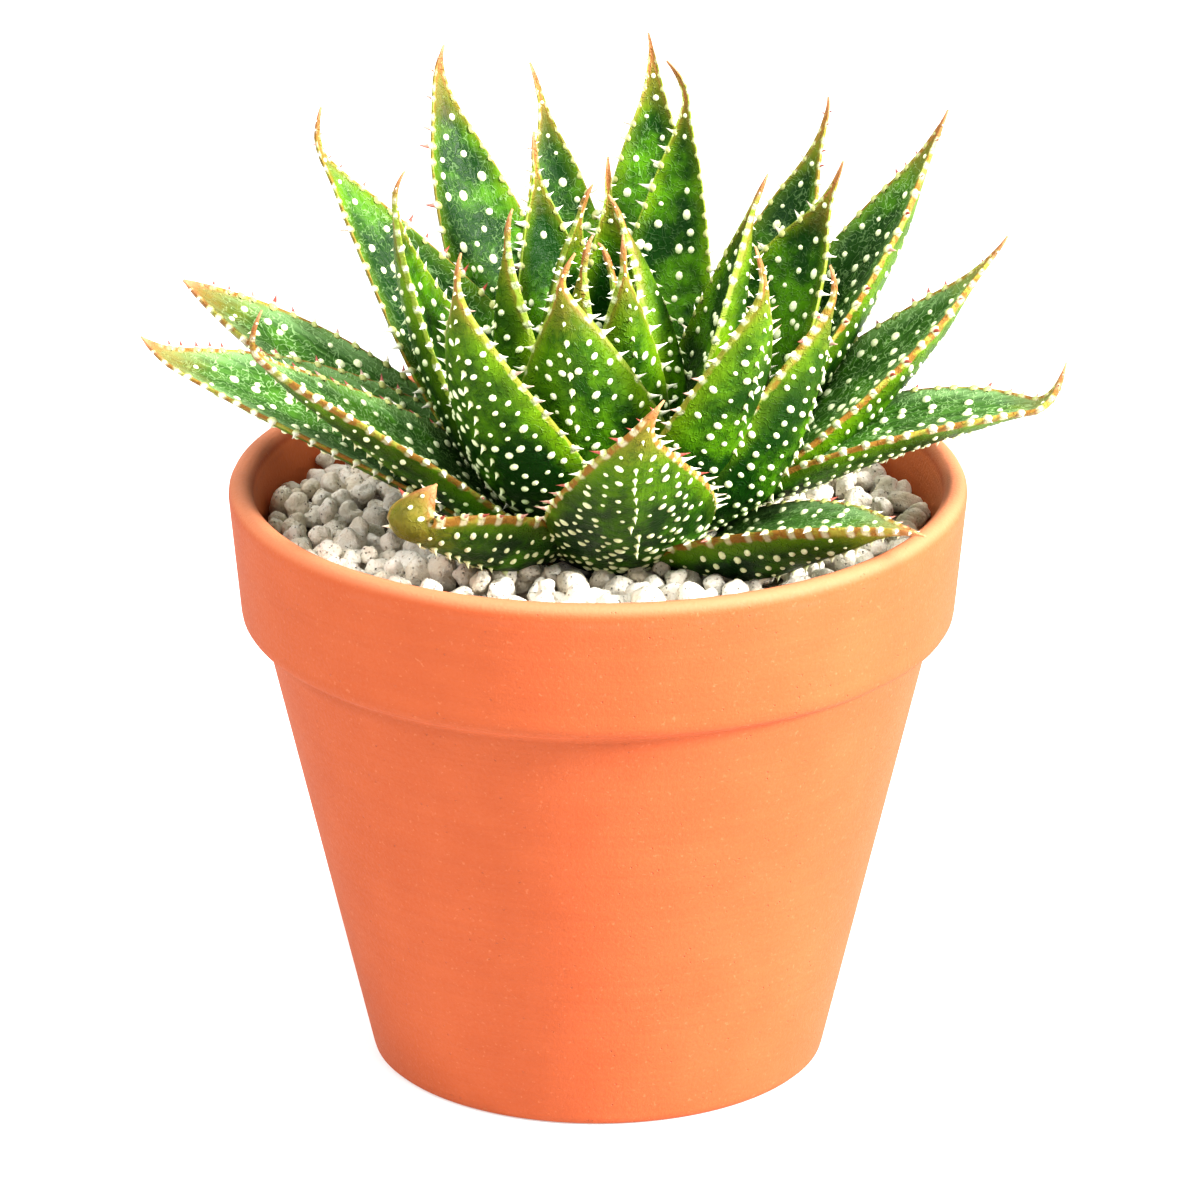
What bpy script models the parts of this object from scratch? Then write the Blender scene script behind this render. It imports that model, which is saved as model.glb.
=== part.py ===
"""Potted lace aloe: a rosette of thick toothed leaves in a terracotta pot topped with pale gravel.

Sizes are in millimetres in the tables and are turned into metres where a mesh is made.
The pot stands on z = 0 with its axis on +Z, and the side shown in the photograph is -Y.
"""
import itertools
import math
import random

import bmesh
import bpy
import numpy as np
from mathutils import Vector
from mathutils.bvhtree import BVHTree
from mathutils.geometry import delaunay_2d_cdt

MM = 0.001
SEED = 41
GAP = 0.35

# Pot, turned about the z axis
TURN_SEGMENTS = 48
DRAIN_RADIUS = 9.0
FLOOR_THICKNESS = 6.0
POT_OUTSIDE = (
    (45.0, 0.0),
    (46.1, 0.5),
    (46.6, 1.6),
    (67.9, 92.0),
    (68.6, 93.1),
    (71.6, 94.7),
    (72.6, 96.2),
    (75.0, 120.8),
    (74.5, 122.5),
    (73.2, 123.4),
)
POT_INSIDE = (
    (71.6, 123.4),
    (70.3, 122.3),
    (69.5, 119.0),
    (67.2, 97.0),
    (63.2, 91.0),
    (41.6, FLOOR_THICKNESS),
)

# Filling
SOIL_TOP = 103.7
GRAVEL_BOTTOM = 104.0
GRAVEL_EDGE_TOP = 113.2
PEBBLE_TOP = 116.4
PEBBLE_PITCH = 10.6
PEBBLE_SHOULDER = 3.9
PEBBLE_SHOULDER_DROP = 1.5
PEBBLE_VALLEY_DROP = 4.6
GROUND_CLEAR = 117.6

# Stem, turned about the middle of the rosette
CROWN = (2.5, -7.0)
STEM_SEGMENTS = 20
STEM_PROFILE = (
    (4.0, 84.0),
    (8.0, 92.0),
    (10.6, 103.0),
    (11.3, 110.0),
    (11.0, 118.0),
    (8.6, 123.0),
    (4.5, 128.5),
    (1.5, 130.5),
)
GRAVEL_HOLE_RADIUS = 12.0

# Leaf roots sit on a low cone about the middle of the rosette
ROOT_RADIUS = 3.0
ROOT_RADIUS_STEP = 1.9
ROOT_HEIGHT = 128.0
ROOT_HEIGHT_STEP = 2.0

# Leaf cross section, in half widths
CHANNEL_DEPTH = 0.25
SHOULDER_ACROSS = 0.8
SHOULDER_DEPTH = 0.42
KEEL_DEPTH = 0.78
ROOT_WIDTH = 0.15
SPINE_SAMPLES = 160
LEAF_SHARP_ANGLE = 30.0

# Marginal teeth
TOOTH_PITCH = 7.6
TOOTH_OUT = 2.3
TOOTH_FORWARD = 0.9
TOOTH_HALF_BASE = 1.5
TOOTH_START = 0.2
TOOTH_END = 0.93
TOOTH_CLEAR = 0.45
SETTLE_ROUNDS = 3
WELD = 0.001
TIP_HALF_WIDTH = 0.8
GROW_OUT = 2.0
GROW_UP = 1.6
PROBE_RAY = Vector((0.37, -0.52, 0.77)).normalized()
RAY_STEP = 0.001


def leaf(tip, aim, heading, launch, roll, half_width, rank, hook=(0, 0, 0), taper=1.6, pull=0.3,
         keel=KEEL_DEPTH, root=ROOT_WIDTH):
    """One row of the leaf table: points in mm, angles in degrees."""
    return dict(tip=tip, aim=aim, heading=heading, launch=launch, roll=roll, half_width=half_width,
                rank=rank, hook=hook, taper=taper, pull=pull, keel=keel, root=root)


# From the heart of the rosette outward: tip, aim of the last stretch, heading about the stem, rise
# at the root, roll at root and tip, half width, and the rank on the root cone.
LEAVES = (
    leaf((0, -10, 177), (3, -12, 177), 330, 80, (0, 0), 6.0, 0.6),
    leaf((-1, -14, 180), (-5, -16, 175), 225, 80, (0, 0), 6.5, 1.0),
    leaf((2, 6, 190), (2, 4, 183), 85, 80, (0, 0), 8.5, 1.5),
    leaf((2, -6, 186), (7, -6, 178), 0, 75, (0, 0), 9.0, 2.0),
    leaf((-1, 0, 186), (-7, 2, 177), 140, 75, (0, 0), 9.5, 1.8),
    leaf((5, -22, 183), (5, -26, 174), 290, 75, (0, 0), 9.5, 1.8),
    leaf((-17, -18, 187), (-21, -20, 179), 205, 70, (0, 0), 11.0, 3.0),
    leaf((34, -8, 191), (27, -8, 177), 358, 62, (12, 10), 12.5, 1.2),
    leaf((-13, 22, 190), (-13.5, 20, 180), 118, 70, (0, 0), 11.5, 3.5),
    leaf((-8, -32, 179), (-7, -38, 173), 262, 65, (0, 0), 17.0, 4.0, hook=(3.5, 0, 3.5), keel=0.6),
    leaf((-40, -14, 192.5), (-44.3, -14, 179), 188, 60, (-35, -15), 12.5, 4.5, hook=(1.5, 0, 1)),
    leaf((18, 36, 198), (19, 36, 187), 68, 65, (0, 0), 12.4, 4.5, hook=(-4, 0, 2.5)),
    leaf((49.5, 12, 187), (47, 12, 177), 22, 60, (25, 30), 15.0, 4.5, taper=1.4),
    leaf((10.3, 50, 202), (14, 48, 188), 80, 65, (0, 0), 11.5, 5.5, taper=1.2),
    leaf((-27, -42, 186), (-32, -44, 170), 232, 60, (0, 0), 15.8, 5.0, keel=0.6),
    leaf((33, -44, 183), (34, -44, 173), 312, 60, (0, 0), 15.0, 5.0, hook=(-2, 0, 5), keel=0.6),
    leaf((-14, 52, 195), (-8.5, 48, 183), 105, 65, (0, 0), 11.5, 5.5, taper=1.4),
    leaf((-32.5, 45, 200), (-35, 42, 186), 122, 65, (0, 0), 12.3, 5.0, hook=(1, 0, 1), taper=1.15),
    leaf((47, 37, 192.5), (48, 35, 182), 45, 60, (0, 0), 12.5, 5.5, taper=1.35),
    leaf((-60, 18, 192), (-50.5, 18, 178), 158, 60, (-40, -20), 13.5, 4.5, hook=(4, 0, 4.5)),
    leaf((47.5, -32, 177), (47.5, -32, 169), 333, 55, (0, 0), 15.5, 5.5, hook=(-1.5, 0, 3)),
    leaf((71, 24, 194), (63.8, 22, 176), 25, 55, (-8, 2), 14.6, 5.5, taper=1.25),
    leaf((17.5, 49, 165), (16, 41, 157), 75, 60, (0, 0), 12.0, 5.5),
    leaf((-13, 51, 162), (-11, 42, 155), 105, 60, (0, 0), 12.0, 5.5),
    leaf((-35, 30, 159), (-29, 25, 152), 135, 58, (0, 0), 12.0, 5.5),
    leaf((29, 39, 156), (25, 32, 150), 60, 58, (0, 0), 11.0, 5.5),
    leaf((13, -64, 163), (2.8, -72, 153), 282, 50, (0, 0), 17.6, 6.0, taper=1.25, keel=0.4, root=0.3),
    leaf((82.7, 5, 173.5), (75, 4.5, 160), 5, 50, (1, 11), 15.0, 6.0, taper=1.4),
    leaf((-71, -42, 168), (-66, -39, 158), 203, 64, (-12, -15), 13.5, 6.5, hook=(4.6, 0, 6), taper=1.45,
         root=0.4),
    leaf((-84, 8, 163), (-65, 6, 151.5), 170, 50, (5, -25), 10.8, 6.0, taper=0.9),
    leaf((-91.5, -18, 157), (-73, -17, 152), 184, 52, (-12, -20), 16.5, 6.5, hook=(0, 0, 3), taper=1.0,
         keel=0.45, root=0.4),
    leaf((94.6, -15, 143), (80, -15, 148.5), 352, 62, (-4, 7), 15.0, 6.5, hook=(-0.6, 0, 10.5), taper=1.2,
         pull=0.35, keel=0.6),
    leaf((66, 37, 143), (55, 30, 144), 35, 48, (0, 0), 12.0, 7.0),
    leaf((37, 58, 149), (31, 49, 147), 62, 50, (0, 0), 12.5, 7.0),
    leaf((0, 74, 145), (0, 62, 146), 92, 50, (0, 0), 13.0, 7.0),
    leaf((-40, 61, 145), (-34, 51, 146), 122, 50, (0, 0), 13.0, 7.0),
    leaf((-58, 28, 139), (-49, 23, 141), 150, 46, (0, 0), 11.5, 7.0),
    leaf((65, -52, 130), (50, -46, 134), 322, 35, (0, 0), 14.0, 6.5, taper=1.2, keel=0.9, root=0.35),
    leaf((-40.5, -50, 131.5), (-31, -46, 132.5), 226, 30, (25, 20), 12.5, 6.5, hook=(8.5, 5, 7), taper=0.95,
         keel=0.65, root=0.3),
)


def clear_scene():
    for item in list(bpy.data.objects):
        bpy.data.objects.remove(item, do_unlink=True)


def make_material(name, colour, roughness):
    material = bpy.data.materials.new(name)
    material.use_nodes = True
    shader = material.node_tree.nodes["Principled BSDF"]
    shader.inputs["Base Color"].default_value = (*colour, 1.0)
    shader.inputs["Roughness"].default_value = roughness
    return material


def face_outward(work):
    bmesh.ops.recalc_face_normals(work, faces=work.faces)
    if work.calc_volume(signed=True) < 0:
        bmesh.ops.reverse_faces(work, faces=work.faces)


def mesh_object(name, points, faces, colour=None, roughness=0.6):
    """A closed mesh object from points in mm, with every face turned outward."""
    mesh = bpy.data.meshes.new(name)
    mesh.from_pydata([Vector(point) * MM for point in points], [], faces)
    work = bmesh.new()
    work.from_mesh(mesh)
    face_outward(work)
    work.to_mesh(mesh)
    work.free()
    item = bpy.data.objects.new(name, mesh)
    bpy.context.scene.collection.objects.link(item)
    if colour is not None:
        mesh.materials.append(make_material(name, colour, roughness))
    return item


def smooth(item, angle=35.0):
    item.data.shade_smooth()
    item.data.set_sharp_from_angle(angle=math.radians(angle))


def turned(name, profile, centre, segments, colour=None, closed=False):
    """A body turned about a vertical line; an open profile is closed by a flat cap at each end."""
    rings = len(profile)
    points = []
    for step in range(segments):
        angle = 2 * math.pi * step / segments
        for radius, height in profile:
            points.append((centre[0] + radius * math.cos(angle), centre[1] + radius * math.sin(angle), height))
    faces = []
    for step in range(segments):
        here = step * rings
        there = (step + 1) % segments * rings
        for ring in range(rings if closed else rings - 1):
            after = (ring + 1) % rings
            faces.append((here + ring, there + ring, there + after, here + after))
    if not closed:
        faces.append([step * rings for step in range(segments)])
        faces.append([step * rings + rings - 1 for step in range(segments)])
    return mesh_object(name, points, faces, colour)


def wall_radius(height):
    """Inner radius of the pot at a height."""
    wall = sorted(POT_INSIDE, key=lambda corner: corner[1])
    return float(np.interp(height, [corner[1] for corner in wall], [corner[0] for corner in wall]))


def apply_difference(item, cutters):
    """Cuts item by each closed object in turn and leaves the cutters in the scene."""
    for cutter in cutters:
        modifier = item.modifiers.new("cut", "BOOLEAN")
        modifier.operation = "DIFFERENCE"
        modifier.object = cutter
        modifier.solver = "EXACT"
        graph = bpy.context.evaluated_depsgraph_get()
        cut = bpy.data.meshes.new_from_object(item.evaluated_get(graph))
        item.modifiers.clear()
        item.data = cut


def build_pot():
    profile = ((DRAIN_RADIUS, 0.0),) + POT_OUTSIDE + POT_INSIDE + ((DRAIN_RADIUS, FLOOR_THICKNESS),)
    pot = turned("pot", profile, (0, 0), TURN_SEGMENTS, (0.80, 0.26, 0.12), closed=True)
    smooth(pot)


def build_soil():
    """The soil fills the pot under the gravel, with a plain hole for the root crown."""
    heights = [FLOOR_THICKNESS + GAP]
    heights += [corner[1] for corner in reversed(POT_INSIDE) if FLOOR_THICKNESS < corner[1] < SOIL_TOP]
    heights.append(SOIL_TOP)
    profile = [(wall_radius(height) - GAP, height) for height in heights]
    soil = turned("soil", profile, (0, 0), TURN_SEGMENTS, (0.06, 0.04, 0.03))
    hole = [(radius + GAP, height) for radius, height in STEM_PROFILE if height <= SOIL_TOP]
    hole[0] = (hole[0][0], hole[0][1] - GAP)
    hole.append((hole[-1][0] + 1.0, SOIL_TOP + 2.0))
    cutter = turned("root_hole", hole, CROWN, STEM_SEGMENTS)
    apply_difference(soil, [cutter])
    bpy.data.objects.remove(cutter, do_unlink=True)
    smooth(soil)


def build_stem():
    stem = turned("stem", STEM_PROFILE, CROWN, STEM_SEGMENTS, (0.30, 0.22, 0.10))
    smooth(stem)
    grown = [(radius + GAP, height) for radius, height in STEM_PROFILE]
    grown[-1] = (grown[-1][0], grown[-1][1] + GAP)
    return turned("stem_clearance", grown, CROWN, STEM_SEGMENTS)


def ring_points(centre, radius, count):
    angles = [2 * math.pi * step / count for step in range(count)]
    return [(centre[0] + radius * math.cos(angle), centre[1] + radius * math.sin(angle)) for angle in angles]


def room_for_pebble(x, y, margin):
    inside_wall = math.hypot(x, y) < wall_radius(GRAVEL_EDGE_TOP) - GAP - margin
    outside_stem = math.hypot(x - CROWN[0], y - CROWN[1]) > GRAVEL_HOLE_RADIUS + margin
    return inside_wall and outside_stem


def pebble_relief(rng):
    """Seeded points of a close-packed pebble surface: a top, six shoulders, low points between."""
    relief = []
    row_pitch = PEBBLE_PITCH * math.sqrt(3) / 2
    reach = int(75 / row_pitch) + 1
    for row in range(-reach, reach + 1):
        for column in range(-reach, reach + 1):
            x = (column + 0.5 * (row % 2)) * PEBBLE_PITCH
            y = row * row_pitch
            for side in (-1, 1):
                low = (x, y + side * PEBBLE_PITCH / math.sqrt(3))
                if side == 1 and room_for_pebble(*low, 1.6):
                    relief.append((*low, PEBBLE_TOP - PEBBLE_VALLEY_DROP))
                low = (x + 0.5 * PEBBLE_PITCH, y + 0.5 * PEBBLE_PITCH / math.sqrt(3))
                if side == -1 and room_for_pebble(*low, 1.6):
                    relief.append((*low, PEBBLE_TOP - PEBBLE_VALLEY_DROP))
            if not room_for_pebble(x, y, 5.2):
                continue
            top = PEBBLE_TOP + rng.uniform(-0.9, 0.7)
            relief.append((x + rng.uniform(-0.9, 0.9), y + rng.uniform(-0.9, 0.9), top))
            turn = rng.uniform(0, math.pi / 3)
            for corner in range(6):
                angle = turn + corner * math.pi / 3
                radius = PEBBLE_SHOULDER * rng.uniform(0.85, 1.12)
                drop = PEBBLE_SHOULDER_DROP * rng.uniform(0.6, 1.4)
                relief.append((x + radius * math.cos(angle), y + radius * math.sin(angle), top - drop))
    return relief


def ring_faces(count, start):
    return [(start + step, start + (step + 1) % count) for step in range(count)]


def triangulated(flat_points, rim, hole):
    """Triangles between the rim and the hole, both given as index ranges of flat_points."""
    edges = ring_faces(len(rim), rim[0]) + ring_faces(len(hole), hole[0])
    result = delaunay_2d_cdt([Vector(point) for point in flat_points], edges, [], 0, 1e-6)
    triangles = []
    for face in result[2]:
        corners = [result[3][index][0] for index in face]
        middle_x = sum(flat_points[corner][0] for corner in corners) / len(corners)
        middle_y = sum(flat_points[corner][1] for corner in corners) / len(corners)
        if math.hypot(middle_x - CROWN[0], middle_y - CROWN[1]) > GRAVEL_HOLE_RADIUS * 0.985:
            triangles.append(corners)
    return triangles


def build_gravel():
    """One bed of pebbles as relief on a solid ring between the stem and the pot wall."""
    rng = random.Random(SEED)
    rim = ring_points((0, 0), wall_radius(GRAVEL_EDGE_TOP) - GAP, TURN_SEGMENTS)
    hole = ring_points(CROWN, GRAVEL_HOLE_RADIUS, STEM_SEGMENTS)
    points = [(x, y, GRAVEL_EDGE_TOP) for x, y in rim + hole] + pebble_relief(rng)
    edge_count = len(rim) + len(hole)
    rim_indices = range(0, len(rim))
    hole_indices = range(len(rim), edge_count)
    faces = triangulated([(x, y) for x, y, _ in points], rim_indices, hole_indices)
    base = len(points)
    foot = ring_points((0, 0), wall_radius(GRAVEL_BOTTOM) - GAP, TURN_SEGMENTS) + hole
    points += [(x, y, GRAVEL_BOTTOM) for x, y in foot]
    faces += [[base + corner for corner in face] for face in triangulated(foot, rim_indices, hole_indices)]
    for first, second in ring_faces(len(rim), 0) + ring_faces(len(hole), len(rim)):
        faces.append((first, second, base + second, base + first))
    mesh_object("gravel", points, faces, (0.86, 0.82, 0.74), 0.9)


def unit(vector):
    return vector / np.linalg.norm(vector, axis=-1, keepdims=True)


def root_point(row):
    angle = math.radians(row["heading"])
    radius = ROOT_RADIUS + ROOT_RADIUS_STEP * row["rank"]
    height = ROOT_HEIGHT - ROOT_HEIGHT_STEP * row["rank"]
    return np.array((CROWN[0] + radius * math.cos(angle), CROWN[1] + radius * math.sin(angle), height))


def leaf_spine(row):
    """Points evenly spaced along the middle line of a leaf, and its length."""
    start = root_point(row)
    tip = np.array(row["tip"], float)
    aim = np.array(row["aim"], float)
    heading = math.radians(row["heading"])
    launch = math.radians(row["launch"])
    out = np.array((math.cos(heading) * math.cos(launch), math.sin(heading) * math.cos(launch),
                    math.sin(launch)))
    pulled = start + out * np.linalg.norm(tip - start) * row["pull"]
    along = np.linspace(0, 1, SPINE_SAMPLES)[:, None]
    curve = (start * (1 - along) ** 3 + pulled * 3 * (1 - along) ** 2 * along
             + aim * 3 * (1 - along) * along ** 2 + tip * along ** 3)
    curve += np.array(row["hook"], float) * np.clip((along - 0.86) / 0.14, 0, 1) ** 2
    steps = np.linalg.norm(np.diff(curve, axis=0), axis=1)
    travelled = np.concatenate([[0], np.cumsum(steps)])
    even = np.linspace(0, travelled[-1], SPINE_SAMPLES)
    spine = np.stack([np.interp(even, travelled, curve[:, axis]) for axis in range(3)], -1)
    return spine, travelled[-1]


def width_share(along, taper, root):
    """Half width along a leaf as a share of the greatest half width."""
    rise = 0.9
    widest = (rise - root * taper) / (rise + taper)
    greatest = (widest + root) ** rise * (1 - widest) ** taper
    return (along + root) ** rise * (1 - along) ** taper / greatest


class LeafShape:
    """Reads positions on one leaf at any share of its length."""

    def __init__(self, row):
        self.row = row
        self.spine, self.length = leaf_spine(row)
        heading = math.radians(row["heading"])
        along = np.linspace(0, 1, SPINE_SAMPLES)
        tangent = unit(np.gradient(self.spine, axis=0))
        level = np.array((-math.sin(heading), math.cos(heading), 0.0))
        side = unit(level - tangent * (tangent @ level)[:, None])
        upper = np.cross(tangent, side)
        roll = np.radians(row["roll"][0] + (row["roll"][1] - row["roll"][0]) * along)[:, None]
        self.tangent = tangent
        self.side = side * np.cos(roll) + upper * np.sin(roll)
        self.upper = upper * np.cos(roll) - side * np.sin(roll)

    def read(self, table, share):
        place = share * (SPINE_SAMPLES - 1)
        low = min(int(place), SPINE_SAMPLES - 2)
        return table[low] + (table[low + 1] - table[low]) * (place - low)

    def half_width(self, share):
        width = width_share(share, self.row["taper"], self.row["root"])
        return max(self.row["half_width"] * width, TIP_HALF_WIDTH)

    def margin(self, share, way, grow=0.0):
        """A point on the margin, moved out and up so that a grown leaf holds the plain one."""
        across = self.half_width(share) + grow * GROW_OUT
        lifted = self.read(self.spine, share) + self.read(self.upper, share) * grow * GROW_UP
        return lifted + self.read(self.side, share) * way * across

    def section(self, share, grow=0.0):
        """Upper left, middle and right, then lower right, keel and left."""
        middle = self.read(self.spine, share)
        side = self.read(self.side, share)
        upper = self.read(self.upper, share)
        width = self.half_width(share)
        swell = 0.5 + 0.5 * min(share / 0.3, 1.0)
        keel = max(self.row["keel"] * swell, CHANNEL_DEPTH + 0.2)
        across = SHOULDER_ACROSS * (width + grow)
        shoulder_top = grow - CHANNEL_DEPTH * width * (1 - SHOULDER_ACROSS ** 2)
        shoulder_low = -keel * width * SHOULDER_DEPTH - grow
        return (
            middle + side * across + upper * shoulder_top,
            middle + upper * (grow - CHANNEL_DEPTH * width),
            middle - side * across + upper * shoulder_top,
            middle - side * across + upper * shoulder_low,
            middle - upper * (keel * width + grow),
            middle + side * across + upper * shoulder_low,
        )


def tooth_shares(shape):
    count = max(4, round(shape.length * (TOOTH_END - TOOTH_START) / TOOTH_PITCH))
    return [TOOTH_START + (TOOTH_END - TOOTH_START) * step / (count - 1) for step in range(count)]


def tooth_points(shape, share, way):
    """Foot, point and far foot of the tooth on one margin."""
    half_base = TOOTH_HALF_BASE / shape.length
    size = 0.75 + 0.25 * math.sin(math.pi * min(share, 1.0))
    outward = shape.read(shape.side, share) * way * TOOTH_OUT * size
    forward = shape.read(shape.tangent, share) * TOOTH_FORWARD
    point = shape.margin(share, way) + outward + forward
    return shape.margin(share - half_base, way), point, shape.margin(share + half_base, way)


def leaf_mesh(name, shape, teeth=None, grow=0.0, colour=None):
    """A closed leaf. With teeth, it holds the (station, way) pairs that keep their tooth."""
    stations = [0.0, 0.1] + tooth_shares(shape) + [0.975]
    points = []
    sections = []
    margins = {1: [], -1: []}

    def add(point):
        points.append(tuple(float(value) for value in point))
        return len(points) - 1

    for index, share in enumerate(stations):
        back = shape.tangent[0] * grow * GROW_OUT * (index == 0)
        sections.append([add(point - back) for point in shape.section(share, grow)])
        for way in (1, -1):
            toothed = teeth is not None and 2 <= index < len(stations) - 1
            if toothed and (index, way) in teeth:
                margins[way].append([add(point) for point in tooth_points(shape, share, way)])
            else:
                margins[way].append([add(shape.margin(share, way, grow) - back)])
    tip = add(shape.spine[-1] + shape.tangent[-1] * (grow + 0.3) - shape.upper[-1] * 0.3)
    faces = leaf_faces(sections, margins, tip)
    item = mesh_object(name, points, faces, colour, 0.45)
    return item


def leaf_faces(sections, margins, tip):
    """Triangles of a leaf: channel and keel strips, fans to each margin, root cap and tip."""
    faces = []
    last = len(sections) - 1
    for index, (upper_left, upper_mid, upper_right, lower_right, keel, lower_left) in enumerate(sections):
        for way, top, bottom in ((1, upper_left, lower_left), (-1, upper_right, lower_right)):
            edge = margins[way][index]
            for first, second in zip(edge[:-1], edge[1:]):
                faces.append((top, first, second))
                faces.append((bottom, second, first))
        if index == last:
            continue
        after = sections[index + 1]
        for column in (0, 1, 3, 4):
            near = sections[index]
            faces.append((near[column], near[column + 1], after[column + 1]))
            faces.append((near[column], after[column + 1], after[column]))
        for way, column in ((1, 0), (1, 5), (-1, 2), (-1, 3)):
            end_here = margins[way][index][-1]
            start_next = margins[way][index + 1][0]
            faces.append((sections[index][column], end_here, start_next))
            faces.append((sections[index][column], start_next, after[column]))
    root = sections[0]
    root_loop = [margins[1][0][0], root[0], root[1], root[2], margins[-1][0][0], root[3], root[4], root[5]]
    faces.append(root_loop)
    end = sections[last]
    tip_loop = [margins[1][last][-1], end[0], end[1], end[2], margins[-1][last][-1], end[3], end[4], end[5]]
    for first, second in zip(tip_loop, tip_loop[1:] + tip_loop[:1]):
        faces.append((first, second, tip))
    return faces


def surface_tree(item):
    mesh = item.data
    mesh.calc_loop_triangles()
    corners = [vertex.co.copy() for vertex in mesh.vertices]
    return BVHTree.FromPolygons(corners, [tuple(triangle.vertices) for triangle in mesh.loop_triangles])


def crossings(place, tree):
    """How many times a ray leaving a point passes through a surface."""
    count = 0
    start = place
    while True:
        hit = tree.ray_cast(start, PROBE_RAY)[0]
        if hit is None:
            return count
        count += 1
        start = hit + PROBE_RAY * RAY_STEP * MM


def too_near(point, tree, room):
    """True inside a body or within room (mm) of its surface."""
    place = Vector([float(value) for value in point]) * MM
    distance = tree.find_nearest(place)[3]
    return distance < room * MM or crossings(place, tree) % 2 == 1


def tooth_probes(shape, share, way, point, middle):
    """Points down the middle of a tooth and down the two flanks that run from it into the leaf."""
    section = shape.section(share)
    shoulders = (section[0], section[5]) if way == 1 else (section[2], section[3])
    probes = [point + (middle - point) * part for part in (0.0, 0.33, 0.67)]
    for shoulder in shoulders:
        probes += [point + (shoulder - point) * part for part in (0.15, 0.3, 0.45, 0.6)]
    return probes


def chosen_teeth(order, shapes, trees, kept_points):
    """The teeth of one leaf that stay clear of every other leaf and of the teeth kept so far."""
    chosen = set()
    shape = shapes[order]
    for step, share in enumerate(tooth_shares(shape)):
        for way in (1, -1):
            first, point, second = tooth_points(shape, share, way)
            middle = (first + second) / 2
            blocked = any(too_near(probe, tree, TOOTH_CLEAR) for other, tree in enumerate(trees)
                          if other != order for probe in tooth_probes(shape, share, way, point, middle))
            crowded = any(np.linalg.norm(point - kept) < TOOTH_OUT for kept in kept_points)
            if blocked or crowded or point[2] < GROUND_CLEAR:
                continue
            chosen.add((step + 2, way))
            kept_points.append(point)
            kept_points.append(middle)
    return chosen


def keep_largest_body(item):
    """Drops every loose piece but the largest and welds points that fall together."""
    work = bmesh.new()
    work.from_mesh(item.data)
    bmesh.ops.remove_doubles(work, verts=work.verts, dist=WELD * MM)
    bmesh.ops.dissolve_degenerate(work, edges=work.edges, dist=WELD * MM)
    bmesh.ops.triangulate(work, faces=work.faces)
    unseen = set(work.verts)
    bodies = []
    while unseen:
        body = {unseen.pop()}
        front = list(body)
        while front:
            vertex = front.pop()
            for edge in vertex.link_edges:
                other = edge.other_vert(vertex)
                if other in unseen:
                    unseen.discard(other)
                    body.add(other)
                    front.append(other)
        bodies.append(body)
    largest = max(bodies, key=body_size)
    scrap = [vertex for vertex in work.verts if vertex not in largest]
    bmesh.ops.delete(work, geom=scrap, context="VERTS")
    face_outward(work)
    work.to_mesh(item.data)
    work.free()


def body_size(body):
    low = Vector([min(vertex.co[axis] for vertex in body) for axis in range(3)])
    high = Vector([max(vertex.co[axis] for vertex in body) for axis in range(3)])
    return (high - low).length


def leaf_colour(order):
    """Yellow green in the heart, deeper green outside."""
    age = order / (len(LEAVES) - 1)
    return (0.34 - 0.26 * age, 0.50 - 0.22 * age, 0.05)


class Rosette:
    """All the leaves, each trimmed by the stem, the ground and the leaves that stand inside it."""

    def __init__(self, stem_clearance):
        self.shapes = [LeafShape(row) for row in LEAVES]
        orders = range(len(self.shapes))
        self.plain = [leaf_mesh(f"plain_{order}", self.shapes[order]) for order in orders]
        self.grown = [leaf_mesh(f"grown_{order}", self.shapes[order], grow=GAP) for order in orders]
        self.trees = [surface_tree(item) for item in self.plain]
        self.grown_trees = [surface_tree(item) for item in self.grown]
        ground = turned("ground", ((80.0, 95.0), (80.0, GROUND_CLEAR)), (0, 0), TURN_SEGMENTS)
        self.surroundings = [stem_clearance, ground]
        kept_points = []
        self.teeth = [chosen_teeth(order, self.shapes, self.trees, kept_points) for order in orders]
        self.leaves = [self.trimmed_leaf(order) for order in orders]

    def trimmed_leaf(self, order):
        name = f"leaf_{order + 1:02d}"
        item = leaf_mesh(name, self.shapes[order], self.teeth[order], colour=leaf_colour(order))
        tree = surface_tree(item)
        inner = [self.grown[other] for other in range(order) if tree.overlap(self.grown_trees[other])]
        apply_difference(item, inner + self.surroundings)
        keep_largest_body(item)
        smooth(item, LEAF_SHARP_ANGLE)
        return item

    def touching_teeth(self):
        """Teeth with a corner on a triangle where two finished leaves still cross."""
        trees = [surface_tree(item) for item in self.leaves]
        touching = set()
        for inner, outer in itertools.combinations(range(len(trees)), 2):
            for first, second in trees[inner].overlap(trees[outer]):
                touching |= self.teeth_at(inner, self.corners(inner, first))
                touching |= self.teeth_at(outer, self.corners(outer, second))
        return touching

    def corners(self, order, triangle):
        mesh = self.leaves[order].data
        return [np.array(mesh.vertices[index].co) / MM for index in mesh.loop_triangles[triangle].vertices]

    def teeth_at(self, order, corners):
        shares = tooth_shares(self.shapes[order])
        found = set()
        for station, way in self.teeth[order]:
            tooth = tooth_points(self.shapes[order], shares[station - 2], way)
            if any(np.linalg.norm(point - corner) < GAP for point in tooth for corner in corners):
                found.add((order, station, way))
        return found

    def settle(self):
        """Drops the teeth that make two leaves cross and trims those leaves afresh."""
        for _ in range(SETTLE_ROUNDS):
            touching = self.touching_teeth()
            for order, station, way in touching:
                self.teeth[order].discard((station, way))
            for order in {tooth[0] for tooth in touching}:
                bpy.data.objects.remove(self.leaves[order], do_unlink=True)
                self.leaves[order] = self.trimmed_leaf(order)
            if not touching:
                break

    def clear_helpers(self):
        for item in self.plain + self.grown + self.surroundings:
            bpy.data.objects.remove(item, do_unlink=True)


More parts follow.
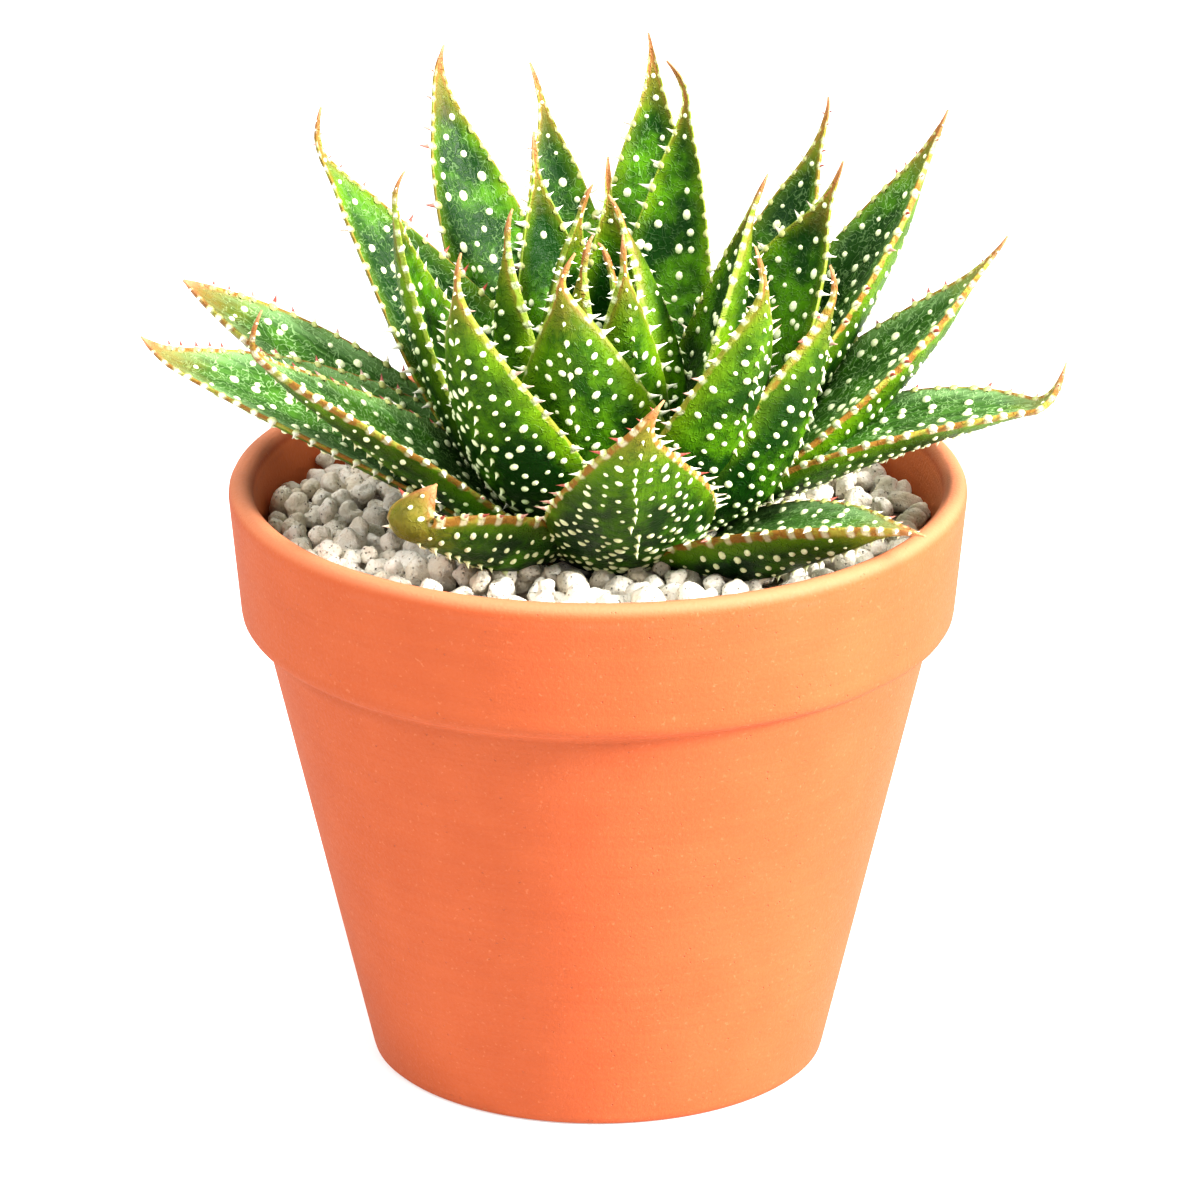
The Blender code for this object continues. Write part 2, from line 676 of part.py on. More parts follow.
def build_leaves(stem_clearance):
    rosette = Rosette(stem_clearance)
    rosette.settle()
    rosette.clear_helpers()


def main():
    clear_scene()
    build_pot()
    build_soil()
    build_gravel()
    build_leaves(build_stem())


main()
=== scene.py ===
"""Looks of the potted lace aloe: fine leaves with white bumps and teeth, loose gravel, fired clay.

Tables are in millimetres and turn into metres where a mesh is made. Each fine piece has the place and
the form of the CAD node that it replaces, but the fine leaves aren't trimmed where they meet.
"""
import math

import bmesh
import bpy
import numpy as np
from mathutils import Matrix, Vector


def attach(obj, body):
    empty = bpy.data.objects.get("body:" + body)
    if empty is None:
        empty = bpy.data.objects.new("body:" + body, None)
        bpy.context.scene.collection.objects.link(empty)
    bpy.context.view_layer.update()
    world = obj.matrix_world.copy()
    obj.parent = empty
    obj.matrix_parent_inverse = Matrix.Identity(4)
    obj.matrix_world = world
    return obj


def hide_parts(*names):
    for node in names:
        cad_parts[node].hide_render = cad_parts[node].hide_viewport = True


MM = 0.001

# Camera, as solved from the rim and foot ellipses
CAMERA_PLACE = (0.0004, -2.0, 0.8593)
CAMERA_AIM = (0.0004, 0.0, 0.0967)
CAMERA_LENS = 314.7
CAMERA_SENSOR = 36.0

# Pot, turned about the z axis
POT_SEGMENTS = 240
POT_SHARP_ANGLE = 50
RIM_TOP = 123.4

# Points past the top of the rim at which the inner side starts
LIP_POINTS = 3

# Radius and height of the closed outline, from the drain hole out, up, over the lip and down inside
POT_OUTSIDE = (
    (9.0, 0.4),
    (9.6, 0.0),
    (44.6, 0.0),
    (45.6, 0.2),
    (46.3, 0.8),
    (46.6, 1.8),
    (67.9, 92.0),
    (68.1, 92.6),
    (68.6, 93.1),
    (71.2, 94.4),
    (72.0, 94.9),
    (72.5, 95.7),
    (72.7, 96.8),
    (75.0, 120.6),
    (74.9, 121.6),
    (74.4, 122.6),
    (73.6, 123.2),
    (72.6, 123.45),
    (71.6, 123.3),
    (70.7, 122.7),
    (70.1, 121.6),
    (69.5, 119.0),
    (67.2, 97.0),
    (63.2, 91.0),
    (41.6, 6.0),
    (9.0, 6.0),
)
PROFILE_STEP = 2.4
LONG_SIDE = 40.0
LONG_SIDE_STEP = 6.0

# Out of round, as a turned pot is: waves about the axis as (size, count, phase)
POT_WAVES = ((0.12, 2, 0.7), (0.06, 5, 0.0))
WAVE_FULL_HEIGHT = 60.0
WAVE_LEAST_RADIUS = 30.0

# Gravel
WALL_RADIUS_TOP = 68.9
WALL_RADIUS_BED = 67.6
BED_HEIGHT = 109.5
BED_FOOT = 104.4
BED_ROUGHNESS = (-0.5, 0.9)
BED_SEGMENTS = 96
BED_STEPS = 14
PEBBLE_FLOOR = 111.6
PEBBLE_LIMIT = 116.9
PEBBLE_COUNT = 1300
PEBBLE_TRIES = 8
PEBBLE_SMALL = 1.75
PEBBLE_LARGE = 3.5
PEBBLE_TOUCH = 0.93
PEBBLE_SUBDIVISIONS = 3
PEBBLE_WAVES = 9
PEBBLE_WAVE_PITCH = (1.8, 7.5)
PEBBLE_WAVE_SIZE = 0.135
PEBBLE_STRETCH = (0.80, 1.18)
GRAVEL_SEED = 7

# Middle of the rosette and the cone that carries the leaf roots
CROWN = (2.5, -7.0)
STEM_RADIUS = 11.3
ROOT_RADIUS = 3.0
ROOT_RADIUS_STEP = 1.9
ROOT_HEIGHT = 128.0
ROOT_HEIGHT_STEP = 2.0

# Leaf cross section: shares of the half width, and exponents for the roundness of the under side
CHANNEL_DEPTH = 0.25
KEEL_DEPTH = 0.78
LEAST_DEPTH = 0.2
EDGE_START = 0.94
BELLY_FLATNESS = 1.7
BELLY_FULLNESS = 0.75

# Radius of the leaf margin in mm
EDGE_RADIUS = 0.30

# Leaf outline: exponents, and places as shares of the length
ROOT_WIDTH = 0.15
WIDTH_RISE = 0.9
HOOK_START = 0.86

# Dry point: half widths in mm, places as shares of the length, and the tapers between which it narrows
AWN_HALF_WIDTH = 0.70
AWN_POINT = 0.22
AWN_START = 0.74
AWN_END = 0.93
AWN_NARROWING = 0.45
BLUNT_TAPER = 0.95
SHARP_TAPER = 1.35

# Samples along and across a leaf
SPINE_SAMPLES = 200
LEAF_RINGS = 92
ACROSS_TOP = (1.0, 0.985, 0.955, 0.91, 0.84, 0.74, 0.6, 0.42, 0.22, 0.0)

# Teeth of the margin and spikes of the keel; they stand closer at the root and at the tip
TOOTH_FIRST = 0.06
TOOTH_LAST = 0.975
PITCH_SCATTER = (0.75, 1.25)
TIP_PART = 0.6
TIP_CROWDING = 0.5
ROOT_PART = 0.3
ROOT_CROWDING = 0.28
TOOTH_PITCH = 4.4
TOOTH_LENGTH = 2.7
TOOTH_SIDES = 7
TOOTH_SUNK = 0.35
TOOTH_FOOT = 1.05
TOOTH_SIZES = (0.8, 1.15)
KEEL_PITCH = 3.6
KEEL_FIRST = 0.25
KEEL_LAST = 0.95
KEEL_LENGTH = 1.5
KEEL_FOOT = (0.85, 0.72)
BUMP_SIDES = 8

# Outlines of a tooth and of a bump: height and girth, each as a share of its size
TOOTH_LEVELS = ((-0.26, 0.30), (-0.14, 0.80), (0.02, 1.0), (0.14, 0.76), (0.30, 0.46), (0.60, 0.27),
                (1.0, 0.0))
BUMP_LEVELS = ((-0.30, 1.30), (0.06, 1.12), (0.40, 0.86), (0.66, 0.46), (0.76, 0.0))

# Spacing and size of the bumps
UPPER_PITCH = 4.6
UPPER_GAP = 2.9
UPPER_RADIUS = 0.80
UPPER_FIRST = 0.08
UPPER_LAST = 0.90
UPPER_MARGIN = 1.9
UPPER_PAIR_SHARE = 0.12
UPPER_MISSING_SHARE = 0.10
UNDER_ROW_PITCH = 3.3
UNDER_PITCH = 3.0
UNDER_CLIMB = 0.55
UNDER_FIRST = 0.04
UNDER_LAST = 0.955
UNDER_MARGIN = 1.3
UNDER_FROM_KEEL = 1.5
UNDER_MISSING_SHARE = 0.16
UNDER_LENGTH = 0.86
UNDER_WIDTH = 0.63

# What the bump material reads as the kind of a growth
BUMP_KIND = 0.0
KEEL_KIND = 0.6
TOOTH_KIND = 1.0

# Units, in mm, of the distances that the leaf material reads
EDGE_UNIT = 10.0
TIP_UNIT = 100.0

FLOOR_HALF_SIZE = 6000.0

# Lights: name, place in metres, height aimed at, size, power and colour
LIGHTS = (
    ("key", (2.0, -0.75, 1.15), 0.12, 0.7, 150.0, (1.0, 0.99, 0.97)),
    ("top", (0.3, -0.9, 2.0), 0.12, 0.9, 30.0, (1.0, 1.0, 1.0)),
    ("fill", (-1.6, -0.9, 1.8), 0.12, 1.0, 26.0, (1.0, 1.0, 1.0)),
    ("back", (-0.5, 1.6, 1.7), 0.15, 1.0, 12.0, (1.0, 1.0, 1.0)),
)
ROOM_STRENGTH = 0.65


def leaf(tip, aim, heading, launch, roll, half_width, rank, hook=(0, 0, 0), taper=1.6, pull=0.3,
         keel=KEEL_DEPTH, root=ROOT_WIDTH):
    """One row of the leaf table: points in mm, angles in degrees."""
    return dict(tip=tip, aim=aim, heading=heading, launch=launch, roll=roll, half_width=half_width,
                rank=rank, hook=hook, taper=taper, pull=pull, keel=keel, root=root)


# From the heart of the rosette outward: tip, aim of the last stretch, heading about the stem, rise
# at the root, roll at root and tip, half width, and the rank on the root cone.
LEAVES = (
    leaf((0, -10, 177), (3, -12, 177), 330, 80, (0, 0), 6.0, 0.6),
    leaf((-1, -14, 180), (-5, -16, 175), 225, 80, (0, 0), 6.5, 1.0),
    leaf((2, 6, 190), (2, 4, 183), 85, 80, (0, 0), 8.5, 1.5),
    leaf((2, -6, 186), (7, -6, 178), 0, 75, (0, 0), 9.0, 2.0),
    leaf((-1, 0, 186), (-7, 2, 177), 140, 75, (0, 0), 9.5, 1.8),
    leaf((5, -22, 183), (5, -26, 174), 290, 75, (0, 0), 9.5, 1.8),
    leaf((-17, -18, 187), (-21, -20, 179), 205, 70, (0, 0), 11.0, 3.0),
    leaf((34, -8, 191), (27, -8, 177), 358, 62, (12, 10), 12.5, 1.2),
    leaf((-13, 22, 190), (-13.5, 20, 180), 118, 70, (0, 0), 11.5, 3.5),
    leaf((-8, -32, 179), (-7, -38, 173), 262, 65, (0, 0), 17.0, 4.0, hook=(3.5, 0, 3.5), keel=0.6),
    leaf((-40, -14, 192.5), (-44.3, -14, 179), 188, 60, (-35, -15), 12.5, 4.5, hook=(1.5, 0, 1)),
    leaf((18, 36, 198), (19, 36, 187), 68, 65, (0, 0), 12.4, 4.5, hook=(-4, 0, 2.5)),
    leaf((49.5, 12, 187), (47, 12, 177), 22, 60, (25, 30), 15.0, 4.5, taper=1.4),
    leaf((10.3, 50, 202), (14, 48, 188), 80, 65, (0, 0), 11.5, 5.5, taper=1.2),
    leaf((-27, -42, 186), (-32, -44, 170), 232, 60, (0, 0), 15.8, 5.0, keel=0.6),
    leaf((33, -44, 183), (34, -44, 173), 312, 60, (0, 0), 15.0, 5.0, hook=(-2, 0, 5), keel=0.6),
    leaf((-14, 52, 195), (-8.5, 48, 183), 105, 65, (0, 0), 11.5, 5.5, taper=1.4),
    leaf((-32.5, 45, 200), (-35, 42, 186), 122, 65, (0, 0), 12.3, 5.0, hook=(1, 0, 1), taper=1.15),
    leaf((47, 37, 192.5), (48, 35, 182), 45, 60, (0, 0), 12.5, 5.5, taper=1.35),
    leaf((-60, 18, 192), (-50.5, 18, 178), 158, 60, (-40, -20), 13.5, 4.5, hook=(4, 0, 4.5)),
    leaf((47.5, -32, 177), (47.5, -32, 169), 333, 55, (0, 0), 15.5, 5.5, hook=(-1.5, 0, 3)),
    leaf((71, 24, 194), (63.8, 22, 176), 25, 55, (-8, 2), 14.6, 5.5, taper=1.25),
    leaf((17.5, 49, 165), (16, 41, 157), 75, 60, (0, 0), 12.0, 5.5),
    leaf((-13, 51, 162), (-11, 42, 155), 105, 60, (0, 0), 12.0, 5.5),
    leaf((-35, 30, 159), (-29, 25, 152), 135, 58, (0, 0), 12.0, 5.5),
    leaf((29, 39, 156), (25, 32, 150), 60, 58, (0, 0), 11.0, 5.5),
    leaf((13, -64, 163), (2.8, -72, 153), 282, 50, (0, 0), 17.6, 6.0, taper=1.25, keel=0.4, root=0.3),
    leaf((82.7, 5, 173.5), (75, 4.5, 160), 5, 50, (1, 11), 15.0, 6.0, taper=1.4),
    leaf((-71, -42, 168), (-66, -39, 158), 203, 64, (-12, -15), 13.5, 6.5, hook=(4.6, 0, 6), taper=1.45,
         root=0.4),
    leaf((-84, 8, 163), (-65, 6, 151.5), 170, 50, (5, -25), 10.8, 6.0, taper=0.9),
    leaf((-91.5, -18, 157), (-73, -17, 152), 184, 52, (-12, -20), 16.5, 6.5, hook=(0, 0, 3), taper=1.0,
         keel=0.45, root=0.4),
    leaf((94.6, -15, 143), (80, -15, 148.5), 352, 62, (-4, 7), 15.0, 6.5, hook=(-0.6, 0, 10.5), taper=1.2,
         pull=0.35, keel=0.6),
    leaf((66, 37, 143), (55, 30, 144), 35, 48, (0, 0), 12.0, 7.0),
    leaf((37, 58, 149), (31, 49, 147), 62, 50, (0, 0), 12.5, 7.0),
    leaf((0, 74, 145), (0, 62, 146), 92, 50, (0, 0), 13.0, 7.0),
    leaf((-40, 61, 145), (-34, 51, 146), 122, 50, (0, 0), 13.0, 7.0),
    leaf((-58, 28, 139), (-49, 23, 141), 150, 46, (0, 0), 11.5, 7.0),
    leaf((65, -52, 130), (50, -46, 134), 322, 35, (0, 0), 14.0, 6.5, taper=1.2, keel=0.9, root=0.35),
    leaf((-40.5, -50, 131.5), (-31, -46, 132.5), 226, 30, (25, 20), 12.5, 6.5, hook=(8.5, 5, 7), taper=0.95,
         keel=0.65, root=0.3),
)


# Materials

class Nodes:
    """Short calls for wiring a node material."""

    def __init__(self, name):
        self.material = bpy.data.materials.new(name)
        self.material.use_nodes = True
        self.tree = self.material.node_tree
        self.shader = self.tree.nodes["Principled BSDF"]

    def link(self, value, socket):
        if isinstance(value, bpy.types.NodeSocket):
            self.tree.links.new(value, socket)
        elif isinstance(value, tuple) and len(value) == 3 and socket.type == "RGBA":
            socket.default_value = (*value, 1.0)
        else:
            socket.default_value = value

    def set(self, name, value):
        self.link(value, self.shader.inputs[name])

    def attribute(self, name):
        node = self.tree.nodes.new("ShaderNodeAttribute")
        node.attribute_name = name
        return node.outputs

    def split(self, colour):
        node = self.tree.nodes.new("ShaderNodeSeparateColor")
        self.link(colour, node.inputs[0])
        return node.outputs

    def object_place(self):
        return self.tree.nodes.new("ShaderNodeTexCoord").outputs["Object"]

    def scaled(self, vector, scale):
        node = self.tree.nodes.new("ShaderNodeMapping")
        self.link(vector, node.inputs["Vector"])
        node.inputs["Scale"].default_value = scale
        return node.outputs[0]

    def noise(self, vector, scale, detail=4.0, rough=0.55, warp=0.0):
        node = self.tree.nodes.new("ShaderNodeTexNoise")
        self.link(vector, node.inputs["Vector"])
        node.inputs["Scale"].default_value = scale
        node.inputs["Detail"].default_value = detail
        node.inputs["Roughness"].default_value = rough
        node.inputs["Distortion"].default_value = warp
        return node.outputs["Fac"]

    def warped(self, vector, scale, amount):
        """The vector pushed about by noise, for wandering lines."""
        noise = self.tree.nodes.new("ShaderNodeTexNoise")
        self.link(vector, noise.inputs["Vector"])
        noise.inputs["Scale"].default_value = scale
        push = self.tree.nodes.new("ShaderNodeVectorMath")
        push.operation = "MULTIPLY_ADD"
        self.link(noise.outputs["Color"], push.inputs[0])
        push.inputs[1].default_value = (amount, amount, amount)
        self.link(vector, push.inputs[2])
        return push.outputs[0]

    def cells(self, vector, scale):
        node = self.tree.nodes.new("ShaderNodeTexVoronoi")
        self.link(vector, node.inputs["Vector"])
        node.inputs["Scale"].default_value = scale
        return node.outputs["Distance"]

    def ramp(self, value, low, high, start=0.0, end=1.0, smooth=True):
        node = self.tree.nodes.new("ShaderNodeMapRange")
        node.interpolation_type = "SMOOTHSTEP" if smooth else "LINEAR"
        self.link(value, node.inputs["Value"])
        node.inputs["From Min"].default_value = low
        node.inputs["From Max"].default_value = high
        node.inputs["To Min"].default_value = start
        node.inputs["To Max"].default_value = end
        return node.outputs["Result"]

    def math(self, kind, first, second=0.0, clamp=False):
        node = self.tree.nodes.new("ShaderNodeMath")
        node.operation = kind
        node.use_clamp = clamp
        self.link(first, node.inputs[0])
        self.link(second, node.inputs[1])
        return node.outputs[0]

    def mix(self, share, first, second):
        node = self.tree.nodes.new("ShaderNodeMix")
        node.data_type = "RGBA"
        self.link(share, node.inputs["Factor"])
        self.link(first, node.inputs["A"])
        self.link(second, node.inputs["B"])
        return node.outputs["Result"]

    def bump(self, height, strength, distance, normal=None):
        node = self.tree.nodes.new("ShaderNodeBump")
        node.inputs["Strength"].default_value = strength
        node.inputs["Distance"].default_value = distance
        self.link(height, node.inputs["Height"])
        if normal is not None:
            self.link(normal, node.inputs["Normal"])
        return node.outputs[0]


def leaf_skin():
    """Green skin: lighter near the margins, pale veins above, tan and orange at the dry point.

    leaf_data holds the share along the leaf, the distance from the margin in EDGE_UNIT, 1 on the under
    side, and the age from 0 in the heart to 1 outside. leaf_tip is the distance from the point in
    TIP_UNIT, leaf_web is 1 at the foot of a tooth, and leaf_flat is the skin laid out flat, in metres.
    """
    n = Nodes("leaf_skin")
    along, from_edge, under = n.split(n.attribute("leaf_data")["Color"])[:3]
    age = n.attribute("leaf_data")["Alpha"]
    upper = n.math("SUBTRACT", 1.0, under)
    flat = n.attribute("leaf_flat")["Vector"]
    web = n.attribute("leaf_web")["Fac"]
    from_tip = n.attribute("leaf_tip")["Fac"]
    place = n.object_place()
    broad = n.noise(place, 75.0, 2.0)
    mottled = n.noise(place, 330.0, 4.0, 0.6)
    streak = n.noise(n.scaled(flat, (1100.0, 90.0, 1.0)), 1.0, 4.0, 0.6, 0.4)

    deep = n.mix(age, (0.005, 0.044, 0.001), (0.003, 0.026, 0.001))
    fresh = n.mix(age, (0.086, 0.240, 0.001), (0.046, 0.168, 0.002))
    tone = n.math("ADD", n.math("MULTIPLY", broad, 0.65), n.math("MULTIPLY", mottled, 0.35))
    green = n.mix(n.ramp(tone, 0.43, 0.65), deep, fresh)
    olive = n.mix(n.ramp(mottled, 0.3, 0.7), (0.046, 0.130, 0.003), (0.120, 0.220, 0.006))
    green = n.mix(n.math("MULTIPLY", under, n.ramp(n.math("ADD", along, broad), 0.80, 1.40, 0.0, 0.62)),
                  green, olive)

    wander = n.math("MULTIPLY", n.math("SUBTRACT", mottled, 0.5), 0.12)
    from_edge = n.math("ADD", from_edge, wander)
    band = n.ramp(from_edge, 0.04, 0.34, 1.0, 0.0)
    lit = n.mix(age, (0.18, 0.31, 0.003), (0.13, 0.23, 0.004))
    green = n.mix(n.math("MULTIPLY", band, n.ramp(broad, 0.3, 0.7, 0.25, 0.65)), green, lit)

    old_upper = n.math("MULTIPLY", upper, n.ramp(age, 0.45, 0.95))
    bloom = n.math("MULTIPLY", old_upper, n.ramp(streak, 0.30, 0.72, 0.20, 0.85))
    green = n.mix(bloom, green, (0.105, 0.250, 0.045))
    pale_way = n.math("MULTIPLY", old_upper, n.ramp(from_edge, 0.10, 0.50, 0.65, 0.0))
    pale_way = n.math("MULTIPLY", pale_way, n.ramp(streak, 0.3, 0.6, 0.3, 1.0))
    green = n.mix(pale_way, green, (0.29, 0.46, 0.22))
    curls = n.noise(n.warped(place, 300.0, 0.0030), 620.0, 1.0)
    veins = n.ramp(n.math("ABSOLUTE", n.math("SUBTRACT", curls, 0.5)), 0.0, 0.050, 1.0, 0.0)
    veins = n.math("MULTIPLY", veins, n.ramp(broad, 0.30, 0.55, 0.45, 1.0))
    paleness = n.math("MULTIPLY", upper, n.ramp(age, 0.25, 0.75, 0.10, 0.72))
    green = n.mix(n.math("MULTIPLY", veins, paleness), green, (0.36, 0.55, 0.24))
    specks = n.ramp(n.cells(place, 700.0), 0.05, 0.20, 1.0, 0.0)
    green = n.mix(n.math("MULTIPLY", specks, 0.40), green, (0.008, 0.050, 0.004))

    margin_reach = n.ramp(from_edge, 0.0, 0.16, 0.10, 0.0)
    dry = n.math("SUBTRACT", from_tip, n.math("ADD", margin_reach, n.math("MULTIPLY", wander, 1.1)))
    brown = n.mix(n.ramp(dry, 0.03, 0.20, 0.68, 0.0), green, (0.23, 0.135, 0.026))
    brown = n.mix(n.ramp(dry, -0.02, 0.07, 0.85, 0.0), brown, (0.36, 0.130, 0.050))
    brown = n.mix(n.ramp(from_tip, 0.0, 0.04, 0.85, 0.0), brown, (0.62, 0.310, 0.150))

    rim_width = n.ramp(from_tip, 0.0, 0.55, 0.12, 0.045)
    rim_width = n.math("MULTIPLY", rim_width, n.ramp(age, 0.3, 0.8, 0.5, 1.0))
    rim_width = n.math("ADD", rim_width, n.math("MULTIPLY", web, 0.025))
    rim = n.math("SUBTRACT", 1.0, n.math("DIVIDE", n.math("MAXIMUM", from_edge, 0.0), rim_width), True)
    rim = n.ramp(rim, 0.05, 0.55)
    rim_colour = n.mix(n.ramp(age, 0.22, 0.62), (0.22, 0.30, 0.03), (0.26, 0.125, 0.022))
    rim_patch = n.mix(age, (0.31, 0.42, 0.08), (0.30, 0.27, 0.04))
    rim_colour = n.mix(n.ramp(mottled, 0.45, 0.62), rim_colour, rim_patch)
    rim_colour = n.mix(n.ramp(web, 0.3, 0.8, 0.0, 0.5), rim_colour, (0.80, 0.82, 0.58))
    rim = n.math("MULTIPLY", rim, n.ramp(from_tip, 0.02, 0.09))
    n.set("Base Color", n.mix(rim, brown, rim_colour))
    n.set("Roughness", n.ramp(mottled, 0.2, 0.8, 0.34, 0.52))
    n.set("Specular IOR Level", 0.14)
    ridges = n.bump(n.math("ADD", streak, veins), 0.50, 0.0005)
    n.set("Normal", n.bump(mottled, 0.55, 0.0008, ridges))
    return n.material


def bump_skin():
    """White raised bumps and teeth: painted shade at the very foot, pale green above it, red-brown where a
    tooth points upward.

    bump_data holds the height from foot to top, the kind from 0 for a bump to 1 for a tooth, a tint
    that says how far a tooth leans upward, and the age of the leaf.
    """
    n = Nodes("leaf_bumps")
    height, kind, tint = n.split(n.attribute("bump_data")["Color"])[:3]
    age = n.attribute("bump_data")["Alpha"]
    place = n.object_place()
    grain = n.noise(place, 1500.0, 3.0)
    white = n.mix(n.ramp(grain, 0.3, 0.75), (0.82, 0.87, 0.60), (0.72, 0.79, 0.44))
    tooth_white = n.mix(n.math("MULTIPLY", age, tint), (0.92, 0.93, 0.78), (0.86, 0.66, 0.47))
    white = n.mix(n.ramp(kind, 0.5, 1.0), white, tooth_white)
    # The darkest colour sits at the very foot of each bump and tooth: painted shade where it meets the
    # skin, very dark green under a bump and olive under a tooth.
    foot_painted_shade = n.mix(n.ramp(kind, 0.3, 0.9), (0.010, 0.055, 0.003), (0.42, 0.44, 0.15))
    foot = n.mix(n.ramp(height, 0.01, 0.14), foot_painted_shade, (0.62, 0.69, 0.36))
    body = n.mix(n.ramp(height, 0.10, 0.32), foot, white)
    redness = n.math("MULTIPLY", n.ramp(age, 0.22, 0.5), n.ramp(tint, 0.57, 0.72))
    redness = n.math("MULTIPLY", redness, n.ramp(kind, 0.7, 1.0))
    point = n.math("MULTIPLY", redness, n.ramp(height, 0.20, 0.36))
    n.set("Base Color", n.mix(point, body, (0.36, 0.070, 0.045)))
    n.set("Roughness", 0.38)
    n.set("Normal", n.bump(grain, 0.2, 0.0002))
    return n.material


def fired_clay():
    """Unglazed orange clay with fine grain, pores and faint turning lines; the top of the lip and the inner
    side are painted paler as painted light, and a broken line of painted shade runs under the lip.
    """
    n = Nodes("fired_clay")
    place = n.object_place()
    height = n.attribute("pot_height")["Fac"]
    inner = n.attribute("pot_inner")["Fac"]
    broad = n.noise(place, 22.0, 3.0, 0.55)
    cloudy = n.noise(place, 85.0, 5.0, 0.6)
    grain = n.noise(place, 1400.0, 3.0, 0.6)
    turning = n.noise(n.scaled(place, (4.0, 4.0, 520.0)), 1.0, 3.0, 0.6)
    tone = n.math("ADD", n.math("MULTIPLY", broad, 0.5), n.math("MULTIPLY", cloudy, 0.5))
    colour = n.mix(n.ramp(tone, 0.25, 0.75), (0.430, 0.084, 0.020), (0.470, 0.100, 0.027))
    colour = n.mix(n.ramp(turning, 0.35, 0.7, 0.0, 0.16), colour, (0.365, 0.068, 0.017))
    specks = n.ramp(n.cells(place, 620.0), 0.04, 0.17, 1.0, 0.0)
    specks = n.math("MULTIPLY", specks, n.ramp(n.noise(place, 240.0, 2.0), 0.52, 0.66))
    colour = n.mix(n.math("MULTIPLY", specks, 0.5), colour, (0.36, 0.10, 0.045))
    chalk = n.ramp(n.noise(place, 1100.0, 2.0), 0.63, 0.75, 0.0, 0.30)
    colour = n.mix(chalk, colour, (0.60, 0.23, 0.105))
    # The inner side of the pot is painted paler and warmer: painted light that lifts the shade inside the
    # pot.
    colour = n.mix(n.math("MULTIPLY", inner, 0.8), colour, (0.66, 0.180, 0.055))
    # The top of the lip is painted paler: painted light where the rim faces up to the lamps.
    lip = n.ramp(height, 120.9 * MM, 123.2 * MM, 0.0, 0.75)
    colour = n.mix(n.math("MULTIPLY", lip, n.math("SUBTRACT", 1.0, inner)), colour, (0.58, 0.22, 0.105))
    # A broken dark line just under the lip's roundover: painted shade where the roundover turns down into
    # the side, broken into short marks by noise.
    painted_lip_shade = n.ramp(n.math("ABSOLUTE", n.math("SUBTRACT", height, 119.4 * MM)), 0.0, 0.0011, 1.0, 0.0)
    painted_lip_shade = n.math("MULTIPLY", painted_lip_shade, n.ramp(n.noise(n.scaled(place, (160.0, 160.0, 60.0)), 1.0, 4.0),
                                               0.42, 0.66))
    colour = n.mix(n.math("MULTIPLY", painted_lip_shade, 0.35), colour, (0.45, 0.11, 0.045))
    n.set("Base Color", colour)
    n.set("Roughness", n.ramp(grain, 0.2, 0.8, 0.62, 0.80))
    n.set("Specular IOR Level", 0.4)
    pores = n.bump(n.math("MULTIPLY", specks, -1.0), 0.6, 0.0005)
    fine = n.bump(grain, 0.35, 0.0004, pores)
    n.set("Normal", n.bump(turning, 0.22, 0.0005, fine))
    return n.material


def pebble_stone():
    """Pale porous grains: cream to white, fine dark pits and cracks."""
    n = Nodes("pebble_stone")
    place = n.object_place()
    tone = n.attribute("pebble_tone")["Fac"]
    cloudy = n.noise(place, 260.0, 4.0, 0.6)
    fine = n.noise(place, 1100.0, 5.0, 0.68)
    pits = n.ramp(n.cells(place, 1150.0), 0.08, 0.30, 1.0, 0.0)
    pits = n.math("MULTIPLY", pits, n.ramp(n.noise(place, 520.0, 2.0), 0.42, 0.62))
    colour = n.mix(n.ramp(tone, 0.0, 1.0, smooth=False), (0.86, 0.75, 0.57), (0.95, 0.90, 0.79))
    colour = n.mix(n.ramp(cloudy, 0.35, 0.72, 0.0, 0.7), colour, (0.97, 0.94, 0.86))
    colour = n.mix(n.ramp(fine, 0.53, 0.66, 0.0, 0.55), colour, (0.68, 0.54, 0.38))
    colour = n.mix(n.math("MULTIPLY", pits, 0.85), colour, (0.20, 0.14, 0.085))
    n.set("Base Color", colour)
    n.set("Roughness", n.ramp(fine, 0.2, 0.8, 0.80, 0.95))
    n.set("Specular IOR Level", 0.25)
    hollow = n.bump(n.math("MULTIPLY", pits, -1.0), 1.0, 0.0008)
    n.set("Normal", n.bump(fine, 0.9, 0.0009, hollow))
    return n.material


def dark_mix(name, dark, light, scale):
    """Crumbly dark ground or bark from two tones."""
    n = Nodes(name)
    place = n.object_place()
    crumbs = n.noise(place, scale, 6.0, 0.7)
    n.set("Base Color", n.mix(n.ramp(crumbs, 0.35, 0.7), dark, light))
    n.set("Roughness", n.ramp(crumbs, 0.2, 0.8, 0.85, 0.97))
    n.set("Normal", n.bump(crumbs, 0.8, 0.0015))
    return n.material


# Mesh helpers

def make_piece(name, points, faces, materials, face_slots=None, smooth=True):
    """A mesh object from points in mm."""
    mesh = bpy.data.meshes.new(name)
    mesh.from_pydata((np.asarray(points) * MM).tolist(), [], faces)
    for material in materials:
        mesh.materials.append(material)
    if face_slots is not None:
        mesh.polygons.foreach_set("material_index", np.asarray(face_slots, dtype=np.int32))
    mesh.polygons.foreach_set("use_smooth", np.full(len(mesh.polygons), smooth))
    mesh.update()
    item = bpy.data.objects.new(name, mesh)
    bpy.context.scene.collection.objects.link(item)
    return item


def put_numbers(item, name, values):
    layer = item.data.attributes.new(name, "FLOAT", "POINT")
    layer.data.foreach_set("value", np.asarray(values, dtype=np.float32))


def put_vectors(item, name, values):
    layer = item.data.attributes.new(name, "FLOAT_VECTOR", "POINT")
    layer.data.foreach_set("vector", np.asarray(values, dtype=np.float32).ravel())


